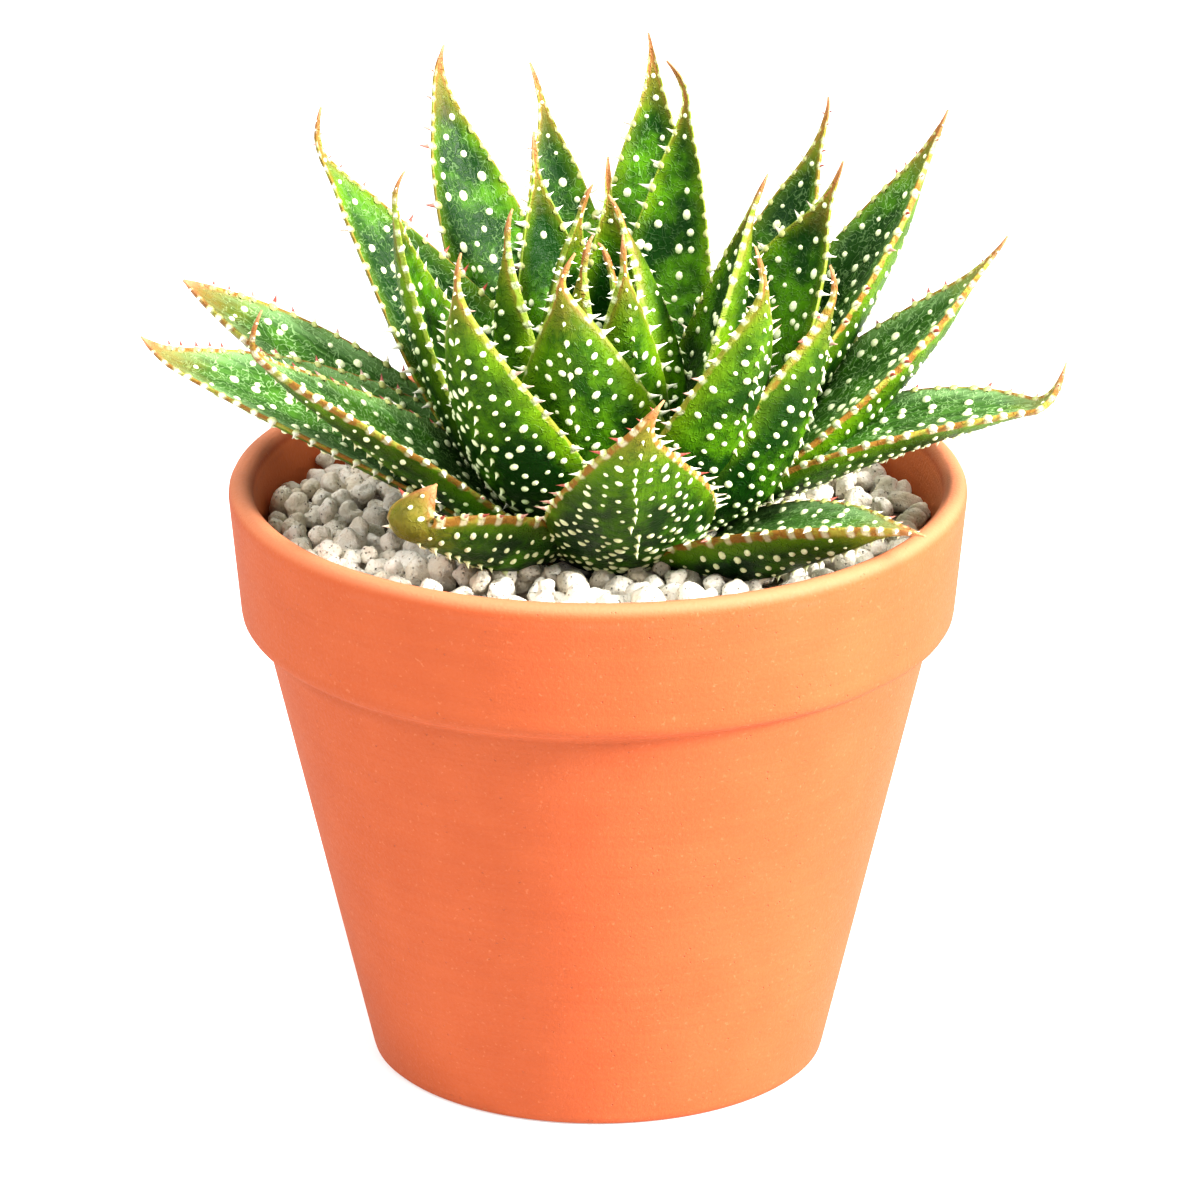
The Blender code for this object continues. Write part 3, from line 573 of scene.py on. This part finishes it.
def put_colours(item, name, values):
    layer = item.data.attributes.new(name, "FLOAT_COLOR", "POINT")
    layer.data.foreach_set("color", np.asarray(values, dtype=np.float32).ravel())


def unit(vector):
    return vector / np.maximum(np.linalg.norm(vector, axis=-1, keepdims=True), 1e-9)


# Leaves

def root_point(row):
    angle = math.radians(row["heading"])
    radius = ROOT_RADIUS + ROOT_RADIUS_STEP * row["rank"]
    height = ROOT_HEIGHT - ROOT_HEIGHT_STEP * row["rank"]
    return np.array((CROWN[0] + radius * math.cos(angle), CROWN[1] + radius * math.sin(angle), height))


def leaf_spine(row):
    """Points evenly spaced along the middle line of a leaf, and its length."""
    start = root_point(row)
    tip = np.array(row["tip"], float)
    aim = np.array(row["aim"], float)
    heading = math.radians(row["heading"])
    launch = math.radians(row["launch"])
    out = np.array((math.cos(heading) * math.cos(launch), math.sin(heading) * math.cos(launch),
                    math.sin(launch)))
    pulled = start + out * np.linalg.norm(tip - start) * row["pull"]
    along = np.linspace(0, 1, SPINE_SAMPLES)[:, None]
    curve = (start * (1 - along) ** 3 + pulled * 3 * (1 - along) ** 2 * along
             + aim * 3 * (1 - along) * along ** 2 + tip * along ** 3)
    curve += np.array(row["hook"], float) * np.clip((along - HOOK_START) / (1 - HOOK_START), 0, 1) ** 2
    steps = np.linalg.norm(np.diff(curve, axis=0), axis=1)
    travelled = np.concatenate([[0], np.cumsum(steps)])
    even = np.linspace(0, travelled[-1], SPINE_SAMPLES)
    spine = np.stack([np.interp(even, travelled, curve[:, axis]) for axis in range(3)], -1)
    return spine, travelled[-1]


def width_share(along, taper, root):
    """Half width along a leaf as a share of the greatest half width."""
    widest = (WIDTH_RISE - root * taper) / (WIDTH_RISE + taper)
    greatest = (widest + root) ** WIDTH_RISE * (1 - widest) ** taper
    return (along + root) ** WIDTH_RISE * (1 - along) ** taper / greatest


class LeafShape:
    """Reads positions on the fine skin of one leaf."""

    def __init__(self, row, order):
        self.row = row
        self.age = order / (len(LEAVES) - 1)
        self.rng = np.random.default_rng(100 + order)
        self.spine, self.length = leaf_spine(row)
        heading = math.radians(row["heading"])
        self.samples = np.linspace(0, 1, SPINE_SAMPLES)
        tangent = unit(np.gradient(self.spine, axis=0))
        level = np.array((-math.sin(heading), math.cos(heading), 0.0))
        side = unit(level - tangent * (tangent @ level)[:, None])
        upper = np.cross(tangent, side)
        turn = row["roll"][0] + (row["roll"][1] - row["roll"][0]) * self.samples
        roll = np.radians(turn)[:, None]
        self.tangent = tangent
        self.side = side * np.cos(roll) + upper * np.sin(roll)
        self.upper = upper * np.cos(roll) - side * np.sin(roll)

    def read(self, table, share):
        return np.stack([np.interp(share, self.samples, table[:, axis]) for axis in range(3)], -1)

    def half_width(self, share):
        width = self.row["half_width"] * width_share(share, self.row["taper"], self.row["root"])
        near_tip = np.clip((share - AWN_START) / (AWN_END - AWN_START), 0, 1)
        sharpness = (self.row["taper"] - BLUNT_TAPER) / (SHARP_TAPER - BLUNT_TAPER)
        narrowing = AWN_NARROWING * min(max(sharpness, 0.0), 1.0)
        width = width * (1 - narrowing * near_tip ** 2 * (3 - 2 * near_tip))
        along_awn = np.clip((share - AWN_END) / (1 - AWN_END), 0, 1)
        awn = AWN_HALF_WIDTH + (AWN_POINT - AWN_HALF_WIDTH) * along_awn
        return np.maximum(width, awn)

    def skin(self, share, across, under):
        """Points on the skin: across runs from -1 to 1, under is 0 above and 1 below."""
        width = self.half_width(share)
        swell = 0.5 + 0.5 * np.minimum(share / 0.3, 1.0)
        keel = np.maximum(self.row["keel"] * swell, CHANNEL_DEPTH + LEAST_DEPTH)
        rounding = np.clip((np.abs(across) - EDGE_START) / (1 - EDGE_START), 0, 1)
        edge = np.minimum(EDGE_RADIUS, 0.45 * width) * np.sqrt(1 - rounding ** 2)
        above = -CHANNEL_DEPTH * width * (1 - across ** 2) + edge
        belly = np.clip(1 - np.abs(across) ** BELLY_FLATNESS, 0, 1) ** BELLY_FULLNESS
        below = -keel * width * belly - edge
        lift = np.where(under > 0.5, below, above)
        middle = self.read(self.spine, share)
        side = self.read(self.side, share) * (across * width)[:, None]
        return middle + side + self.read(self.upper, share) * lift[:, None]

    def skin_normal(self, share, across, under):
        step = 0.004
        ahead = self.skin(np.minimum(share + step, 1), across, under)
        behind = self.skin(np.maximum(share - step, 0), across, under)
        left = self.skin(share, np.clip(across + 0.02, -1, 1), under)
        right = self.skin(share, np.clip(across - 0.02, -1, 1), under)
        normal = unit(np.cross(ahead - behind, left - right))
        return normal * np.where(under > 0.5, -1.0, 1.0)[:, None], unit(ahead - behind)


def leaf_rings(shape):
    """The closed skin: rings of points from root to tip, with the numbers the material reads."""
    top = list(ACROSS_TOP) + [-value for value in ACROSS_TOP[-2::-1]]
    bottom = top[-2:0:-1]
    across = np.array(top + bottom)
    under = np.array([0.0] * len(top) + [1.0] * len(bottom))
    shares = np.linspace(0, 1, LEAF_RINGS) ** 0.92
    columns = len(across)
    share_grid = np.repeat(shares, columns)
    across_grid = np.tile(across, LEAF_RINGS)
    under_grid = np.tile(under, LEAF_RINGS)
    points = shape.skin(share_grid, across_grid, under_grid)
    faces = []
    for ring in range(LEAF_RINGS - 1):
        for column in range(columns):
            after = (column + 1) % columns
            here = ring * columns
            there = here + columns
            faces.append((here + column, here + after, there + after, there + column))
    faces.append(tuple(range(columns - 1, -1, -1)))
    last = (LEAF_RINGS - 1) * columns
    faces.append(tuple(last + column for column in range(columns)))
    return points, faces, share_grid, across_grid, under_grid


def tooth_places(shape):
    """Shares along each margin where a tooth stands, closer together towards the tip."""
    places = {}
    for way in (1, -1):
        travelled = TOOTH_FIRST * shape.length + shape.rng.uniform(0, 2)
        found = []
        while travelled < TOOTH_LAST * shape.length:
            share = travelled / shape.length
            found.append(share)
            pitch = TOOTH_PITCH * (1.0 - TIP_CROWDING * max(0.0, share - TIP_PART) / (1 - TIP_PART))
            pitch *= 1 - ROOT_CROWDING + ROOT_CROWDING * min(1.0, share / ROOT_PART)
            travelled += pitch * shape.rng.uniform(*PITCH_SCATTER)
        places[way] = np.array(found)
    return places


def cone_faces(start, sides, levels):
    """Side faces of stacked rings that close in one point."""
    faces = []
    tip = start + sides * levels
    for level in range(levels):
        for side in range(sides):
            after = (side + 1) % sides
            here = start + level * sides
            if level == levels - 1:
                faces.append((here + side, here + after, tip))
            else:
                faces.append((here + side, here + after, here + sides + after, here + sides + side))
    return faces


class Growths:
    """Collects the bumps and teeth of one leaf."""

    def __init__(self):
        self.points = []
        self.faces = []
        self.data = []

    def cone(self, foot, lean, long_way, short_way, levels, sides, curl, data):
        """Rings at (height, girth) about a leaning axis; data is (kind, tint)."""
        start = len(self.points)
        angles = 2 * math.pi * np.arange(sides) / sides
        flat = np.cos(angles)[:, None] * long_way + np.sin(angles)[:, None] * short_way
        for height, girth in levels[:-1]:
            self.points.extend(foot + lean * height + curl * max(height, 0) ** 2 + flat * girth)
            self.data.extend([(max(height, 0) / levels[-1][0], *data)] * sides)
        top = levels[-1][0]
        self.points.append(foot + lean * top + curl * top ** 2)
        self.data.append((1.0, *data))
        self.faces.extend(cone_faces(start, sides, len(levels) - 1))


def add_teeth(shape, places, growths):
    """Spikes with a plump foot, pointing out of the margin and a little forward."""
    plump = 0.50 + 0.30 * shape.age
    for way, shares in places.items():
        for share in shares:
            one = np.array([share])
            width = float(shape.half_width(one)[0])
            sunk = 1 - min(TOOTH_SUNK / width, 0.6)
            foot = shape.skin(one, np.array([way * sunk]), np.array([0.0]))[0]
            along = shape.read(shape.tangent, one)[0]
            out = shape.read(shape.side, one)[0] * way
            up = shape.read(shape.upper, one)[0]
            foot = foot - up * EDGE_RADIUS * 0.8
            size = min(1.0, 0.36 + width / 8.0) * shape.rng.uniform(*TOOTH_SIZES)
            lean = unit(out + along * shape.rng.uniform(0.0, 0.35) + up * shape.rng.uniform(-0.15, 0.2))
            sunlit = min(max(0.5 + 0.6 * lean[2] + shape.rng.uniform(-0.2, 0.2), 0.0), 1.0)
            length = TOOTH_LENGTH * (0.72 + 0.36 * sunlit) * size
            growths.cone(foot, lean * (length + TOOTH_SUNK), along * TOOTH_FOOT * size, up * plump * size,
                         TOOTH_LEVELS, TOOTH_SIDES, along * 0.35 * size, (TOOTH_KIND, sunlit))


def add_keel(shape, growths):
    """A row of larger spiked bumps down the middle of the under side."""
    travelled = KEEL_FIRST * shape.length
    while travelled < KEEL_LAST * shape.length:
        share = np.array([travelled / shape.length])
        across = np.array([shape.rng.normal(0, 0.03)])
        under = np.array([1.0])
        foot = shape.skin(share, across, under)[0]
        normal, along = shape.skin_normal(share, across, under)
        side = unit(np.cross(normal[0], along[0]))
        width = float(shape.half_width(share)[0])
        size = min(1.0, 0.4 + width / 12.0) * shape.rng.uniform(0.75, 1.1)
        lean = unit(normal[0] - along[0] * 0.35) * KEEL_LENGTH * size
        long_way = along[0] * KEEL_FOOT[0] * size
        short_way = side * KEEL_FOOT[1] * size
        growths.cone(foot, lean, long_way, short_way, TOOTH_LEVELS, TOOTH_SIDES,
                     -along[0] * 0.4 * size, (KEEL_KIND, shape.rng.uniform(0, 1)))
        travelled += KEEL_PITCH * (1.25 - 0.5 * share[0]) * shape.rng.uniform(0.8, 1.25)


def upper_spots(shape):
    """Seeded spots on the channel, loosely spaced; some stand in short rows."""
    spots = []
    travelled = UPPER_FIRST * shape.length
    while travelled < UPPER_LAST * shape.length:
        share = travelled / shape.length
        width = float(shape.half_width(np.array([share]))[0])
        reach = max(0.0, 1 - UPPER_MARGIN / width)
        count = max(1, round(2 * reach * width / UPPER_PITCH))
        for column in range(count):
            across = -reach + 2 * reach * (column + shape.rng.uniform(0.15, 0.85)) / count
            place = share + shape.rng.uniform(-0.42, 0.42) * UPPER_PITCH / shape.length
            gaps = [math.hypot((place - old[0]) * shape.length, (across - old[1]) * width)
                    for old in spots]
            missing = shape.rng.uniform() < UPPER_MISSING_SHARE
            if missing or min(gaps, default=UPPER_GAP) < UPPER_GAP:
                continue
            spots.append((place, across))
            if shape.rng.uniform() < UPPER_PAIR_SHARE:
                spots.append((place + 0.3 / shape.length, across + 1.7 / width))
        travelled += UPPER_PITCH * 0.9
    return spots


def under_spots(shape):
    """Seeded spots on the back of a leaf, in rows that run up from the keel to the margins."""
    spots = []
    travelled = -0.1 * shape.length
    shift = 0.0
    while travelled < 0.95 * shape.length:
        share = travelled / shape.length
        middle = float(shape.half_width(np.array([min(max(share, 0.05), 1.0)]))[0])
        count = int(2 * middle / UNDER_PITCH) + 1
        for column in range(count):
            across = (column + 0.5 + shift - count / 2) * UNDER_PITCH / middle
            across += shape.rng.normal(0, 0.35) / middle
            climb = abs(across) * middle * UNDER_CLIMB
            place = share + (climb + shape.rng.normal(0, 0.28)) / shape.length
            if place < UNDER_FIRST or place > UNDER_LAST:
                continue
            width = float(shape.half_width(np.array([place]))[0])
            across *= middle / width
            off_middle = abs(across) * width
            if off_middle > width - UNDER_MARGIN or off_middle < UNDER_FROM_KEEL:
                continue
            if shape.rng.uniform() < UNDER_MISSING_SHARE:
                continue
            spots.append((place, across))
        shift = 0.5 - shift
        travelled += UNDER_ROW_PITCH * (0.75 + 0.25 * min(1.0, max(share, 0.0) / 0.4))
    return spots


def add_bumps(shape, spots, under, growths):
    """White domes over one face of a leaf: round above, drawn out along their rows below."""
    if not spots:
        return
    share = np.clip(np.array([spot[0] for spot in spots]), 0.03, 0.97)
    across = np.array([spot[1] for spot in spots])
    flags = np.full(len(share), float(under))
    centre = shape.skin(share, across, flags)
    normal, along = shape.skin_normal(share, across, flags)
    width = shape.half_width(share)
    for index in range(len(share)):
        side = unit(np.cross(normal[index], along[index]))
        outward = side * np.sign(side @ shape.read(shape.side, share[index:index + 1])[0])
        outward = outward * (1.0 if across[index] >= 0 else -1.0)
        size = min(1.0, 0.5 + width[index] / 16.0) * shape.rng.uniform(0.62, 1.18)
        if under:
            row_way = unit(outward + along[index] * 0.5)
            cross_way = unit(np.cross(normal[index], row_way))
            long_way = row_way * UNDER_LENGTH * shape.rng.uniform(0.75, 1.15) * size
            short_way = cross_way * UNDER_WIDTH * size
            height = UNDER_WIDTH * 0.95 * size
        else:
            stretch = shape.rng.uniform(0.9, 1.25)
            long_way = along[index] * UPPER_RADIUS * size * stretch
            short_way = side * UPPER_RADIUS * size
            height = UPPER_RADIUS * 0.9 * size
        growths.cone(centre[index], normal[index] * height, long_way, short_way, BUMP_LEVELS, BUMP_SIDES,
                     np.zeros(3), (BUMP_KIND, shape.rng.uniform(0, 1)))


def build_leaf(order, row, materials):
    """One fine leaf with its teeth and bumps, in place of the CAD leaf of the same number."""
    shape = LeafShape(row, order)
    points, faces, share, across, under = leaf_rings(shape)
    places = tooth_places(shape)
    web = np.zeros(len(share))
    for way in (1, -1):
        near = np.abs(share[:, None] - places[way][None, :]).min(axis=1) * shape.length
        web = np.where(across * way > 0.5, np.exp(-(near / 0.8) ** 2), web)
    growths = Growths()
    add_teeth(shape, places, growths)
    add_keel(shape, growths)
    add_bumps(shape, upper_spots(shape), 0, growths)
    add_bumps(shape, under_spots(shape), 1, growths)
    count, extra = len(points), len(growths.points)
    slots = [0] * len(faces) + [1] * len(growths.faces)
    faces = faces + [tuple(count + corner for corner in face) for face in growths.faces]
    item = make_piece(f"fine_leaf_{order + 1:02d}", np.concatenate([points, growths.points]), faces,
                      materials, slots)
    width = shape.half_width(share)
    from_edge = (1 - np.abs(across)) * width
    skin_data = np.stack([share, from_edge / EDGE_UNIT, under, np.full(count, shape.age)], -1)
    put_colours(item, "leaf_data", np.concatenate([skin_data, np.zeros((extra, 4))]))
    flat = np.stack([across * width * MM, share * shape.length * MM, np.full(count, order * 1.7)], -1)
    put_vectors(item, "leaf_flat", np.concatenate([flat, np.zeros((extra, 3))]))
    put_numbers(item, "leaf_web", np.concatenate([web, np.zeros(extra)]))
    from_tip = (1 - share) * shape.length / TIP_UNIT
    put_numbers(item, "leaf_tip", np.concatenate([from_tip, np.zeros(extra)]))
    bump_data = np.column_stack([np.array(growths.data), np.full(extra, shape.age)])
    put_colours(item, "bump_data", np.concatenate([np.zeros((count, 4)), bump_data]))
    face_outward(item)
    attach(item, "root")
    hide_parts(f"leaf_{order + 1:02d}")


def face_outward(item):
    work = bmesh.new()
    work.from_mesh(item.data)
    bmesh.ops.recalc_face_normals(work, faces=work.faces)
    work.to_mesh(item.data)
    work.free()


# Pot

def pot_profile():
    """The turned outline with points at most one step apart."""
    outline = []
    corners = POT_OUTSIDE + POT_OUTSIDE[:1]
    for first, second in zip(corners[:-1], corners[1:]):
        length = math.dist(first, second)
        count = max(1, math.ceil(length / (PROFILE_STEP if length < LONG_SIDE else LONG_SIDE_STEP)))
        for step in range(count):
            part = step / count
            outline.append((first[0] + (second[0] - first[0]) * part,
                            first[1] + (second[1] - first[1]) * part))
    return outline


def build_pot():
    """The turned pot, with pot_inner at 1 from the lip's inner side down."""
    outline = pot_profile()
    rings = len(outline)
    points, faces, inner = [], [], []
    inner_start = next(index for index, corner in enumerate(outline) if corner[1] > RIM_TOP)
    for step in range(POT_SEGMENTS):
        angle = 2 * math.pi * step / POT_SEGMENTS
        sway = sum(size * math.sin(count * angle + phase) for size, count, phase in POT_WAVES)
        for index, (radius, height) in enumerate(outline):
            wobble = sway * min(1.0, height / WAVE_FULL_HEIGHT) if radius > WAVE_LEAST_RADIUS else 0.0
            reach = radius + wobble
            points.append((reach * math.cos(angle), reach * math.sin(angle), height))
            inner.append(1.0 if index > inner_start + LIP_POINTS else 0.0)
    for step in range(POT_SEGMENTS):
        here = step * rings
        there = (step + 1) % POT_SEGMENTS * rings
        for ring in range(rings):
            after = (ring + 1) % rings
            faces.append((here + ring, there + ring, there + after, here + after))
    item = make_piece("fine_pot", points, faces, [fired_clay()])
    item.data.set_sharp_from_angle(angle=math.radians(POT_SHARP_ANGLE))
    put_numbers(item, "pot_height", [point[2] * MM for point in points])
    put_numbers(item, "pot_inner", inner)
    face_outward(item)
    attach(item, "root")
    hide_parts("pot")


# Gravel

def ball(subdivisions):
    work = bmesh.new()
    bmesh.ops.create_icosphere(work, subdivisions=subdivisions, radius=1.0)
    points = np.array([vertex.co[:] for vertex in work.verts])
    faces = np.array([[vertex.index for vertex in face.verts] for face in work.faces])
    work.free()
    return points, faces


def pebble_places():
    """Grains dropped one by one; each rests on what lies below it, and high ones are left out."""
    rng = np.random.default_rng(GRAVEL_SEED)
    placed = np.zeros((0, 4))
    for _ in range(PEBBLE_COUNT):
        radius = PEBBLE_SMALL + (PEBBLE_LARGE - PEBBLE_SMALL) * rng.beta(2.2, 2.0)
        best = None
        for _ in range(PEBBLE_TRIES):
            angle = rng.uniform(0, 2 * math.pi)
            reach = math.sqrt(rng.uniform(0, 1)) * (WALL_RADIUS_TOP - radius)
            x, y = reach * math.cos(angle), reach * math.sin(angle)
            if math.hypot(x - CROWN[0], y - CROWN[1]) < STEM_RADIUS + radius:
                continue
            height = PEBBLE_FLOOR
            if len(placed):
                gap = (placed[:, 0] - x) ** 2 + (placed[:, 1] - y) ** 2
                touch = PEBBLE_TOUCH * (placed[:, 3] + radius)
                near = gap < touch ** 2
                if near.any():
                    rests = placed[near, 2] + np.sqrt(touch[near] ** 2 - gap[near])
                    height = max(height, float(rests.max()))
            if best is None or height < best[2]:
                best = (x, y, height, radius)
        if best is None:
            continue
        edge = math.hypot(best[0], best[1]) / WALL_RADIUS_TOP
        if best[2] + radius > PEBBLE_LIMIT + 0.5 - 1.6 * edge ** 5:
            continue
        placed = np.vstack([placed, best])
    return placed


def lumpy_grain(base, radius, rng):
    """A ball with waves over it, stretched and turned at random."""
    waves = unit(rng.normal(size=(PEBBLE_WAVES, 3)))
    phases = rng.uniform(0, 2 * math.pi, PEBBLE_WAVES)
    pitch = rng.uniform(*PEBBLE_WAVE_PITCH, PEBBLE_WAVES)
    swells = np.cos(base @ waves.T * pitch + phases) * (PEBBLE_WAVE_SIZE / pitch ** 0.5)
    lumps = 1.0 + swells.sum(axis=1)
    stretch = rng.uniform(*PEBBLE_STRETCH, 3)
    return (base * lumps[:, None] * stretch) @ random_turn(rng).T * radius


def build_gravel():
    """Loose grains in two pieces, left and right, over a bed of grit."""
    rng = np.random.default_rng(GRAVEL_SEED + 1)
    stone = pebble_stone()
    places = pebble_places()
    base, triangles = ball(PEBBLE_SUBDIVISIONS)
    halves = (("pebbles_left", places[places[:, 0] < 0]), ("pebbles_right", places[places[:, 0] >= 0]))
    for name, group in halves:
        points, faces, tones = [], [], []
        for x, y, height, radius in group:
            start = sum(len(part) for part in points)
            points.append(lumpy_grain(base, radius, rng) + np.array((x, y, height)))
            faces.append(triangles + start)
            tones.append(np.full(len(base), rng.beta(2.4, 1.3)))
        item = make_piece(name, np.concatenate(points), np.concatenate(faces).tolist(), [stone])
        put_numbers(item, "pebble_tone", np.concatenate(tones))
        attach(item, "root")
        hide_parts("gravel")
    build_bed()


def random_turn(rng):
    first = unit(rng.normal(size=3))
    second = unit(np.cross(first, rng.normal(size=3)))
    return np.stack([first, second, np.cross(first, second)])


def build_bed():
    """Fine grit under the grains, a shallow ring between the stem and the wall."""
    rng = np.random.default_rng(GRAVEL_SEED + 2)
    points, faces = [], []
    for segment in range(BED_SEGMENTS):
        angle = 2 * math.pi * segment / BED_SEGMENTS
        way = np.array((math.cos(angle), math.sin(angle)))
        inner = np.array(CROWN) + STEM_RADIUS * way
        outer = WALL_RADIUS_BED * way
        for step in range(BED_STEPS + 1):
            flat = inner + (outer - inner) * step / BED_STEPS
            points.append((*flat, BED_HEIGHT + rng.uniform(*BED_ROUGHNESS)))
        points.append((*outer, BED_FOOT))
        points.append((*inner, BED_FOOT))
    ring = BED_STEPS + 3
    for segment in range(BED_SEGMENTS):
        here = segment * ring
        there = (segment + 1) % BED_SEGMENTS * ring
        for step in range(ring):
            after = (step + 1) % ring
            faces.append((here + step, there + step, there + after, here + after))
    grit = dark_mix("dark_grit", (0.10, 0.075, 0.055), (0.36, 0.29, 0.21), 900.0)
    item = make_piece("gravel_bed", points, faces, [grit])
    face_outward(item)
    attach(item, "root")
    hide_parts("gravel")


# Surroundings

def give_material(node, material):
    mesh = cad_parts[node].data
    mesh.materials.clear()
    mesh.materials.append(material)


def build_floor():
    size = FLOOR_HALF_SIZE
    points = [(-size, -size, 0), (size, -size, 0), (size, size, 0), (-size, size, 0)]
    n = Nodes("white_sheet")
    soft = n.noise(n.object_place(), 3.0, 2.0)
    n.set("Base Color", n.mix(n.ramp(soft, 0.2, 0.8), (0.50, 0.50, 0.50), (0.52, 0.52, 0.52)))
    n.set("Roughness", 0.9)
    n.set("Specular IOR Level", 0.0)
    n.set("Emission Color", (1.0, 1.0, 1.0))
    n.set("Emission Strength", 0.45)
    make_piece("floor", points, [(0, 1, 2, 3)], [n.material], smooth=False)


def turn_towards(item, aim):
    item.rotation_euler = (Vector(aim) - item.location).to_track_quat("-Z", "Y").to_euler()


def soft_light(name, place, aim_height, size, power, colour):
    lamp = bpy.data.lights.new(name, "AREA")
    lamp.shape = "DISK"
    lamp.size = size
    lamp.energy = power
    lamp.color = colour
    item = bpy.data.objects.new(name, lamp)
    bpy.context.scene.collection.objects.link(item)
    item.location = place
    turn_towards(item, (0, 0, aim_height))


def build_lights():
    for light in LIGHTS:
        soft_light(*light)
    world = bpy.data.worlds.new("white_room")
    world.use_nodes = True
    sky = world.node_tree.nodes["Background"]
    sky.inputs["Color"].default_value = (1.0, 1.0, 1.0, 1.0)
    sky.inputs["Strength"].default_value = ROOM_STRENGTH
    bpy.context.scene.world = world


def build_camera():
    camera = bpy.data.cameras.new("camera")
    camera.lens = CAMERA_LENS
    camera.sensor_width = CAMERA_SENSOR
    camera.clip_start = 0.05
    item = bpy.data.objects.new("camera", camera)
    bpy.context.scene.collection.objects.link(item)
    item.location = CAMERA_PLACE
    turn_towards(item, CAMERA_AIM)
    bpy.context.scene.camera = item
    bpy.context.scene.view_settings.view_transform = "Standard"
    bpy.context.scene.view_settings.look = "Medium High Contrast"


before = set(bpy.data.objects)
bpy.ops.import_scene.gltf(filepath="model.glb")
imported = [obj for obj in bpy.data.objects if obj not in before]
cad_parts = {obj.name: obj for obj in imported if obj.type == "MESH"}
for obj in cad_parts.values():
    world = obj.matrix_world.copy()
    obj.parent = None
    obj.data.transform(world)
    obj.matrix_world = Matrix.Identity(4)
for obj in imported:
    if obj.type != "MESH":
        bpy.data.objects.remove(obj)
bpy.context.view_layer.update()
build_camera()
build_lights()
build_floor()
build_pot()
build_gravel()
give_material("soil", dark_mix("potting_mix", (0.018, 0.011, 0.007), (0.085, 0.055, 0.035), 700.0))
give_material("stem", dark_mix("old_stem", (0.10, 0.06, 0.03), (0.30, 0.21, 0.11), 500.0))
leaf_materials = [leaf_skin(), bump_skin()]
for number, table_row in enumerate(LEAVES):
    build_leaf(number, table_row, leaf_materials)
